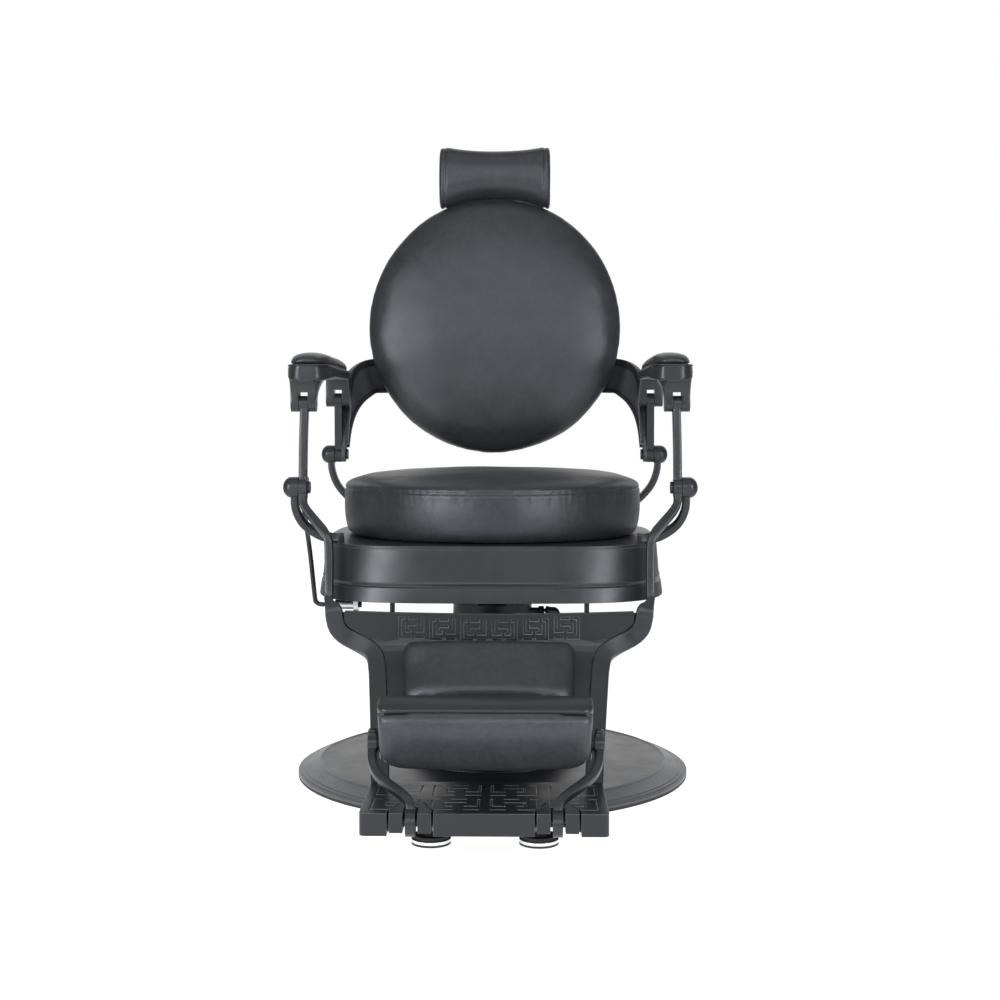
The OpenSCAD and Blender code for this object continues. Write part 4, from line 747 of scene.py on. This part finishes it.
def footrest_place(x, y, z):
    """A point given on the footrest's own axes, at rest."""
    lean = math.radians(FOOTREST_LEAN)
    return Vector((x, FOOTREST_AXIS[1] + y * math.cos(lean) - z * math.sin(lean),
        FOOTREST_AXIS[2] + y * math.sin(lean) + z * math.cos(lean)))


def footrest_local(p):
    """A point of the chair, on the footrest's own axes."""
    lean = math.radians(FOOTREST_LEAN)
    y, z = p[1] - FOOTREST_AXIS[1], p[2] - FOOTREST_AXIS[2]
    return p[0], y * math.cos(lean) + z * math.sin(lean), -y * math.sin(lean) + z * math.cos(lean)


def ring(radius, height, count):
    """Points on a level circle."""
    return [(radius * math.cos(t), radius * math.sin(t), height)
        for t in (2 * math.pi * k / count for k in range(count))]


def dress(obj, material, body):
    """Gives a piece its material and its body."""
    obj.data.materials.clear()
    obj.data.materials.append(material)
    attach(obj, body)
    return obj


# Operators


class CHAIR_OT_castings(bpy.types.Operator):
    """Gives every metal, rubber and plastic node its finish and smooths its turned faces"""

    bl_idname = "chair.castings"
    bl_label = "Finish the metal and rubber"

    def execute(self, context):
        looks = context.scene.barber_chair.metal
        coat, base = looks.coat, looks.base_coat
        # The brackets' web: a lighter copy of the coat, painted light on a web that lies in shade
        web = coat_finish("bracket_web_painted_light", looks, toned(coat, 2.6), 0.46, 0.9, 0.8)
        # The leg-rest panel and tread: a darker copy of the coat, painted shade, with a stronger
        # painted highlight on their edges
        fretted = coat_finish("fretted_painted_shade_coat", looks, toned(coat, 0.6), 0.33, edge=1.8)
        special = {
            "back_bracket_left": web, "back_bracket_right": web,
            "legrest_panel": fretted, "foot_platform": fretted,
        }
        finishes = {
            "cast_coat": coat_finish("cast_coat", looks, coat, 0.35),
            "base_plate_steel": coat_finish("base_plate_coat", looks, base, 0.34, 0.12, 0.6),
            # The base's rim: a lighter copy of the base coat, a painted reflection, with turned
            # grooves
            "base_rim_coat": coat_finish("base_rim_coat", looks, toned(base, 4.5), 0.34, 0.2, 0.8,
                grooves=looks.grooves),
            "gasket_rubber": rubber_finish("gasket_rubber", looks, 1.6),
            "bell_black": coat_finish("bell_coat", looks, toned(coat, 0.3), 0.4, 0.1, 0.3),
            "raw_steel": plated_finish("ground_steel", looks, toned(looks.bright, 0.72), 0.24),
            "pin_steel": coat_finish("pin_coat", looks, coat, 0.36, 0.1, 1.0, 0.3),
            "black_rubber": rubber_finish("black_rubber", looks),
            "bright_chrome": plated_finish("bright_chrome", looks, looks.bright, 0.07),
            "rod_black": coat_finish("rod_coat", looks, toned(coat, 0.6), 0.32, 0.08, 0.6),
            "knob_black": gloss_finish("knob_plastic", KNOB_BLACK, 0.22),
            "shell_plastic": coat_finish("shell_coat", looks, toned(coat, 0.7), 0.5, 0.3, 0.4),
            "black_leather": leather_finish(
                "solid_leather", context.scene.barber_chair.upholstery),
        }
        slots = {row["node"]: row["material_slot"] for row in frame["record"]["subparts"]}
        for name, solid in SOLIDS.items():
            mesh = solid.data
            mesh.materials.clear()
            mesh.materials.append(special.get(name) or finishes[slots[name]])
            if "custom_normal" in mesh.attributes:
                mesh.attributes.remove(mesh.attributes["custom_normal"])
            shaded(mesh)
            solid.modifiers.new("Joined", "WELD").merge_threshold = WELD
            split = solid.modifiers.new("Edges", "EDGE_SPLIT")
            split.split_angle = math.radians(EDGE_ANGLE)
            split.use_edge_sharp = False
            solid.modifiers.new("Even", "WEIGHTED_NORMAL").keep_sharp = True
        return {"FINISHED"}


class CHAIR_OT_seat(bpy.types.Operator):
    """Makes the round seat cushion with its sewn edge"""

    bl_idname = "chair.seat"
    bl_label = "Seat cushion"

    def execute(self, context):
        looks = context.scene.barber_chair.upholstery
        low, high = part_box("seat_cushion")
        radius = (high.x - low.x) / 2
        seam_z = low.z + SEAT_SEAM
        leather = leather_finish("seat_leather", looks)
        pad = padded_copy("seat_cushion", "seat_pad", looks, lambda p: p[2] < low.z + 0.004)

        def shape(p):
            r = math.hypot(p[0], p[1])
            angle = math.atan2(p[1], p[0])
            depth = wave(p, 0.09, 0.0012, 3)
            if r > 0.8 * radius and p[2] > low.z + 0.02:
                under = seam_z - p[2]
                signed = under if r > radius - SEAT_FOLD else r - radius + SEAT_FOLD
                depth += fold(math.hypot(r - radius, under) if signed < 0 else signed, looks)
                pucker = math.exp(-((under - 0.01) / 0.012) ** 2) if under > 0 else 0
                depth += 0.0005 * pucker * noise.noise(Vector((angle * 26, p[2] * 30, 1)))
            return depth

        pressed(pad, shape)
        dress(pad, leather, "seat")
        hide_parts("seat_cushion")
        row = ring(radius, seam_z - THREAD_BELOW, 360)
        sewing = stitches("seat_stitching", row + row[:1], surface_tree(pad), looks)
        dress(sewing, thread_finish(looks), "seat")
        return {"FINISHED"}


class CHAIR_OT_back(bpy.types.Operator):
    """Makes the round backrest cushion with the sewn cord round its back"""

    bl_idname = "chair.back"
    bl_label = "Backrest cushion"

    def execute(self, context):
        looks = context.scene.barber_chair.upholstery
        low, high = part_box("backrest_cushion")
        radius = (high.x - low.x) / 2
        leather = leather_finish("back_leather", looks)
        pad = padded_copy("backrest_cushion", "back_pad", looks, lambda p: p[1] > high.y - 0.012)
        pressed(pad, lambda p: wave(p, 0.11, 0.0016, 8) + wave(p, 0.045, 0.0005, 2))
        lean = math.radians(BACK_LEAN)
        centre = Vector(BACK_MIDDLE)
        across = Vector((1, 0, 0))
        up = Vector((0, math.sin(lean), math.cos(lean)))
        behind = Vector((0, math.cos(lean), -math.sin(lean)))
        points = points_of(pad.data)
        height = (points - np.array(centre)) @ np.array(up) / radius
        longer = np.where(height > 0, looks.back_rise, looks.back_fall) * height
        set_points(pad.data, points + longer[:, None] * np.array(up))
        dress(pad, leather, "back")
        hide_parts("backrest_cushion")
        start = centre + behind * CORD_BEHIND
        route = [start + across * x + up * y for x, y, _ in ring(radius - CORD_IN, 0, 260)]
        dress(welt("back_welt", route, CORD_RADIUS), leather, "back")
        return {"FINISHED"}


class CHAIR_OT_headrest(bpy.types.Operator):
    """Makes the headrest roll with its two sewn ends"""

    bl_idname = "chair.headrest"
    bl_label = "Headrest roll"

    def execute(self, context):
        looks = context.scene.barber_chair.upholstery
        low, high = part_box("headrest_pad")
        half = (high.x - low.x) / 2
        middle = (low + high) / 2
        leather = leather_finish("headrest_leather", looks)
        pad = padded_copy("headrest_pad", "headrest_roll", looks,
            lambda p: p[1] > high.y - 0.03 and abs(p[0]) < 0.05, 0.75)
        seam_x = half - HEAD_SEAM

        def shape(p):
            depth = wave(p, 0.05, 0.0009, 5)
            for side in (-1, 1):
                depth += fold(p[0] - side * seam_x, looks) * 0.9
            near = math.exp(-((abs(p[0]) - seam_x + 0.008) / 0.007) ** 2)
            angle = math.atan2(p[2] - middle.z, p[1] - middle.y)
            return depth + 0.0006 * near * noise.noise(Vector((angle * 5, p[0] * 40, 4)))

        pressed(pad, shape)
        dress(pad, leather, "head")
        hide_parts("headrest_pad")
        on = surface_tree(pad)
        depth, height = (high.y - low.y) / 2 * OUTSIDE, (high.z - low.z) / 2 * OUTSIDE
        for word, side in reversed(SIDES):
            route = []
            aim = Vector((side * (seam_x - THREAD_BELOW), middle.y, middle.z))
            for k in range(121):
                a = math.radians(HEAD_SEWN[0] + (HEAD_SEWN[1] - HEAD_SEWN[0]) * k / 120)
                probe = Vector((
                    aim.x, aim.y - depth * math.sin(a), aim.z + height * math.cos(a)))
                hit = on.ray_cast(probe, (aim - probe).normalized())[0]
                if hit is not None:
                    route.append(hit)
            sewing = stitches("headrest_stitching_" + word, route, on, looks)
            dress(sewing, thread_finish(looks), "head")
        return {"FINISHED"}


class CHAIR_OT_arm_pads(bpy.types.Operator):
    """Makes the two domed arm pads"""

    bl_idname = "chair.arm_pads"
    bl_label = "Arm pads"

    def execute(self, context):
        looks = context.scene.barber_chair.upholstery
        leather = leather_finish("arm_leather", looks)
        for word, _ in SIDES:
            node = "arm_pad_" + word
            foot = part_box(node)[0].z
            pad = padded_copy(
                node, "armrest_pad_" + word, looks, lambda p: p[2] < foot + 0.003, 0.75, 5)
            pressed(pad, lambda p: wave(p, 0.05, 0.0008, 6))
            dress(pad, leather, "armrest_" + word)
            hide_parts(node)
        return {"FINISHED"}


class CHAIR_OT_calf_pad(bpy.types.Operator):
    """Makes the pad of the leg rest"""

    bl_idname = "chair.calf_pad"
    bl_label = "Calf pad"

    def execute(self, context):
        looks = context.scene.barber_chair.upholstery
        low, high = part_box("calf_pad")
        middle = (low[2] + high[2]) / 2
        pad = padded_copy("calf_pad", "calf_cushion", looks, lambda p: False, 0.85)
        points = points_of(pad.data)
        for p in points:
            away = (p[2] - middle) / (high[2] - middle)
            drop = corner_cut(p[0], high[0], looks.calf_corner)
            drop *= math.copysign(eased(abs(away)), away)
            p[2] -= drop
            p[1] -= drop * PANEL_SLOPE
        set_points(pad.data, points)
        pressed(pad, lambda p: wave(p, 0.06, 0.001, 9))
        dress(pad, leather_finish("calf_leather", looks), "leg_rest")
        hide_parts("calf_pad")
        return {"FINISHED"}


class CHAIR_OT_foot_pad(bpy.types.Operator):
    """Makes the cushion of the footrest"""

    bl_idname = "chair.foot_pad"
    bl_label = "Footrest cushion"

    def execute(self, context):
        looks = context.scene.barber_chair.upholstery
        trim = context.scene.barber_chair.trim
        pad = padded_copy("footrest_cushion", "footrest_pad_leather", looks, lambda p: False, 0.75)
        low, high = FOOTREST_SHELL[1], FOOTREST_SHELL[2]
        top = high + trim.tray_rise - 0.001
        points = points_of(pad.data)
        front = min(footrest_local(p)[1] for p in points)
        for i, p in enumerate(points):
            x, y, z = footrest_local(p)
            share = min(max((z - low) / (high - low), 0), 1)
            flat = trim.pad_flat * (1 - eased(share * 1.25)) * math.exp((front - y) / 0.03)
            y = front + (y - front) * (1 - flat)
            far = min(abs(x) / FOOTREST_HALF, 1)
            foot = low + trim.pad_bow * far ** 2 + corner_cut(x, FOOTREST_HALF, trim.pad_corner)
            head = top - corner_cut(x, FOOTREST_HALF, trim.pad_corner / 3)
            points[i] = footrest_place(x, y, foot + share * (head - foot))
        set_points(pad.data, points)
        pressed(pad, lambda p: wave(p, 0.06, 0.0009, 12))
        # The footrest cushion's leather is a lighter copy: painted light
        dress(pad, leather_finish("footrest_leather_painted_light", looks, 1.6), "footrest_pad")
        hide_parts("footrest_cushion")
        return {"FINISHED"}


class CHAIR_OT_trim(bpy.types.Operator):
    """Makes the footrest's cast top and stops, and the frame's ribs, beads and seam fillers, which
    are painted shade
    """

    bl_idname = "chair.trim"
    bl_label = "Cast trim"

    def execute(self, context):
        metal = context.scene.barber_chair.metal
        trim = context.scene.barber_chair.trim
        # Its edges are 1.3 times as light: partly wear, partly a painted highlight
        coat = coat_finish("trim_coat", metal, metal.coat, 0.34, 0.14, 1.3)
        # Dark tubes in the seams beside the leg-rest panel: painted shade
        dark = rubber_finish("seam_painted_shade", metal, 0.6)
        self.tray(trim, coat)
        self.stop_caps(trim, coat)
        for word, side in SIDES:
            self.bracket_ribs(trim, coat, word, side)
            self.arm_bead(trim, coat, word, side)
            route = curve_through([(side * x, y, z) for x, y, z in SEAM_ROUTE], 3)
            filler = welt("legrest_seam_painted_shade_" + word, route, trim.filler, False)
            dress(filler, dark, "leg_rest")
        return {"FINISHED"}

    def tray(self, trim, coat):
        """The cast top that the cushion's upper edge tucks under, with round ends."""
        thick, _, head = FOOTREST_SHELL
        width, thick = 2 * FOOTREST_HALF + TRAY_OVER, thick + TRAY_OVER
        top = head + trim.tray_rise
        levels = [(head - trim.tray_wrap, 0)] + [(top - down, inset) for down, inset in TRAY_RIM]
        rings = [
            [footrest_place(x, y, min(z, self.over_tread(y))) for x, y, z in points]
            for points in stacked(levels, width, thick, trim.tray_corner, 10)]
        dress(lofted("footrest_cast_top", rings), coat, "footrest_pad")

    def over_tread(self, y):
        """The height at which the footrest, flipped over, still clears the tread below it."""
        lean = math.radians(FOOTREST_LEAN)
        return (TREAD_CLEARANCE - y * math.sin(lean)) / math.cos(lean)

    def stop_caps(self, trim, coat):
        """Small slotted blocks on the trunnion eyes."""
        foot = FOOTREST_AXIS[2] + EYE_TOP
        split, top = foot + trim.stop_h * STOP_SPLIT, foot + trim.stop_h
        for word, side in SIDES:
            for part, low, high, width in (
                    ("foot", foot - STOP_SUNK, split, STOP_FOOT), ("cap", split, top, STOP_CAP)):
                levels = (
                    (low, STOP_EDGE / 2), (low + STOP_EDGE, 0),
                    (high - STOP_EDGE, 0), (high, STOP_EDGE))
                rings = [
                    [(side * EYE_X + x, FOOTREST_AXIS[1] + y, z) for x, y, z in points]
                    for points in stacked(levels, width, STOP_DEPTH, STOP_ROUND)]
                name = "footrest_stop_%s_%s" % (part, word)
                dress(lofted(name, rings), coat, "footrest_arms")

    def bracket_ribs(self, trim, coat, word, side):
        """The ribs along both edges of a back bracket, which leave its web recessed."""
        path = curve_through([
            [a + (b - a) * share for a, b, share in zip(BRACKET_ROOT, BRACKET_FOOT, shares)]
            for shares in BRACKET_SHARES], 8)
        last = len(path) - 1
        for edge, sign in (("upper", 1), ("lower", -1)):
            rings = []
            for i, p in enumerate(path[RIB_FROM:RIB_TO], RIB_FROM):
                run = (path[i + 1] - path[i - 1]).normalized()
                turned = eased(i / last)
                face = Vector((turned, 1 - turned, 0)).normalized()
                out = (face - run * face.dot(run)).normalized()
                up = run.cross(out)
                up = up if up.z > 0 or i > last * 0.6 else -up
                slimmer = eased((i / last - 0.4) / 0.6)
                tall = BRACKET_TALL[0] + (BRACKET_TALL[1] - BRACKET_TALL[0]) * slimmer
                wide = trim.flange * (RIB_UPPER if sign > 0 else 1) * (1 - RIB_TAPER * i / last)
                middle = p + up * (sign * (tall / 2 - wide / 2))
                outline = rounded(BRACKET_THIN + 2 * trim.flange_proud, wide, RIB_ROUND, 3)
                rings.append([middle + out * a + up * b for a, b in outline])
            rings = [[(side * q.x, q.y, q.z) for q in points] for points in rings]
            dress(lofted("back_bracket_%s_rib_%s" % (edge, word), rings), coat, "back")

    def arm_bead(self, trim, coat, word, side):
        """The bead round the top edge of a cast arm."""
        route = []
        for k in range(BEAD_POINTS):
            turn = 2 * math.pi * k / BEAD_POINTS
            share = (1 - math.copysign(abs(math.cos(turn)) ** ARM_SPACING, math.cos(turn))) / 2
            plan = (1 - abs((2 * share - 1) * 0.998) ** ARM_POWER) ** ARM_ROUND
            half = (ARM_WIDTH[0] + (ARM_WIDTH[1] - ARM_WIDTH[0]) * share) / 2
            half = half * (ARM_BLUNT + (1 - ARM_BLUNT) * plan) - BEAD_IN
            across = half if turn < math.pi else -half
            route.append((side * (ARM_MIDDLE + across),
                ARM_FRONT + (ARM_BACK - ARM_FRONT) * share, ARM_RIM - BEAD_DOWN))
        dress(welt("arm_bead_" + word, route, trim.rim_bead), coat, "armrest_" + word)


class CHAIR_OT_studio(bpy.types.Operator):
    """Sets up the pale floor, the lamps and the camera"""

    bl_idname = "chair.studio"
    bl_label = "Studio"

    def execute(self, context):
        scene = context.scene
        looks = scene.barber_chair.studio
        scene.view_settings.view_transform = "Standard"
        shape = bmesh.new()
        bmesh.ops.create_circle(shape, cap_ends=True, segments=96, radius=FLOOR_RADIUS)
        floor = mesh_object("studio_floor", shape, False)
        floor.data.materials.append(self.floor_finish(looks))
        self.room(scene, looks)
        for name, place, size, power, share in LAMPS:
            data = bpy.data.lights.new(name, "AREA")
            data.shape = "RECTANGLE"
            data.size, data.size_y = size
            data.energy = getattr(looks, power) * share
            lamp = link(bpy.data.objects.new(name, data))
            lamp.location = place
            way = Vector(LAMPS_AIM) - Vector(place)
            lamp.rotation_euler = way.to_track_quat("-Z", "Y").to_euler()
        data = bpy.data.cameras.new("camera")
        data.lens = looks.lens
        data.sensor_width = FILM
        data.shift_x, data.shift_y = looks.shift_x, looks.shift_y
        camera = link(bpy.data.objects.new("camera", data))
        camera.location = (looks.distance * math.sin(looks.azimuth),
            -looks.distance * math.cos(looks.azimuth), looks.height)
        camera.rotation_euler = (math.pi / 2, 0, looks.azimuth)
        scene.camera = camera
        return {"FINISHED"}

    def seen(self, tree, place, fade, sides):
        """One for the camera, clear material and reflections of what lies behind the chair.

        The room before the chair, where the photographer stood, is dark: a place's Y and a share
        of its height fade its reflection in, and it dims far out to the sides. Other light: nought.
        """
        path = add(tree, "ShaderNodeLightPath").outputs
        x, y, z = add(tree, "ShaderNodeSeparateXYZ", {0: place}).outputs
        behind = spread(tree, maths(tree, "MULTIPLY_ADD", z, RISE_SHARE, y), *fade, 0, 1)
        near = spread(tree, maths(tree, "ABSOLUTE", x), *sides, 1, SIDE_LEVEL)
        mirrored = maths(
            tree, "MULTIPLY", path["Is Glossy Ray"], maths(tree, "MULTIPLY", behind, near))
        first = maths(tree, "ADD", path["Is Camera Ray"], mirrored, clamp=True)
        return maths(tree, "ADD", first, path["Is Transmission Ray"], clamp=True)

    def floor_finish(self, looks):
        """Pale ground, and a glow that only the camera and some reflections see."""
        material = bpy.data.materials.new("studio_floor")
        tree = emptied(material)
        ground = add(tree, "ShaderNodeBsdfDiffuse", {"Color": (0.7, 0.7, 0.7, 1)})
        place = add(tree, "ShaderNodeNewGeometry").outputs["Position"]
        lift = maths(
            tree, "MULTIPLY", self.seen(tree, place, FLOOR_FADE, FLOOR_SIDES), looks.floor)
        glow = add(tree, "ShaderNodeEmission", {"Strength": lift})
        both = add(tree, "ShaderNodeAddShader", {0: ground.outputs[0], 1: glow.outputs[0]})
        add(tree, "ShaderNodeOutputMaterial", {"Surface": both.outputs[0]})
        return material

    def room(self, scene, looks):
        """Even light, and a white room for the camera and some reflections."""
        world = bpy.data.worlds.new("studio_room")
        tree = emptied(world)
        way = add(tree, "ShaderNodeTexCoord").outputs["Generated"]
        level = spread(tree, self.seen(tree, way, ROOM_FADE, ROOM_SIDES), 0, 1, looks.sky, 1)
        back = add(tree, "ShaderNodeBackground", {"Color": (1, 1, 1, 1), "Strength": level})
        add(tree, "ShaderNodeOutputWorld", {"Surface": back.outputs[0]})
        scene.world = world


class CHAIR_PT_panel(bpy.types.Panel):
    """Lists the barber chair's operators and settings"""

    bl_idname = "CHAIR_PT_panel"
    bl_label = "Barber Chair"
    bl_space_type = "VIEW_3D"
    bl_region_type = "UI"
    bl_category = "Barber Chair"

    def draw(self, context):
        for operator in OPERATORS:
            self.layout.operator(operator.bl_idname)
        settings = context.scene.barber_chair
        for part in ChairSettings.__annotations__:
            group = getattr(settings, part)
            box = self.layout.box()
            for name in group.__annotations__:
                box.prop(group, name)


GROUPS = (ChairUpholstery, ChairMetal, ChairTrim, ChairStudio, ChairSettings)
OPERATORS = (
    CHAIR_OT_castings, CHAIR_OT_seat, CHAIR_OT_back, CHAIR_OT_headrest, CHAIR_OT_arm_pads,
    CHAIR_OT_calf_pad, CHAIR_OT_foot_pad, CHAIR_OT_trim, CHAIR_OT_studio,
)


def register():
    for cls in (*GROUPS, *OPERATORS, CHAIR_PT_panel):
        bpy.utils.register_class(cls)
    bpy.types.Scene.barber_chair = bpy.props.PointerProperty(type=ChairSettings)


def unregister():
    del bpy.types.Scene.barber_chair
    for cls in reversed((*GROUPS, *OPERATORS, CHAIR_PT_panel)):
        bpy.utils.unregister_class(cls)


def main():
    register()
    bpy.ops.chair.castings()
    bpy.ops.chair.seat()
    bpy.ops.chair.back()
    bpy.ops.chair.headrest()
    bpy.ops.chair.arm_pads()
    bpy.ops.chair.calf_pad()
    bpy.ops.chair.foot_pad()
    bpy.ops.chair.trim()
    bpy.ops.chair.studio()


if __name__ == "__main__":
    main()
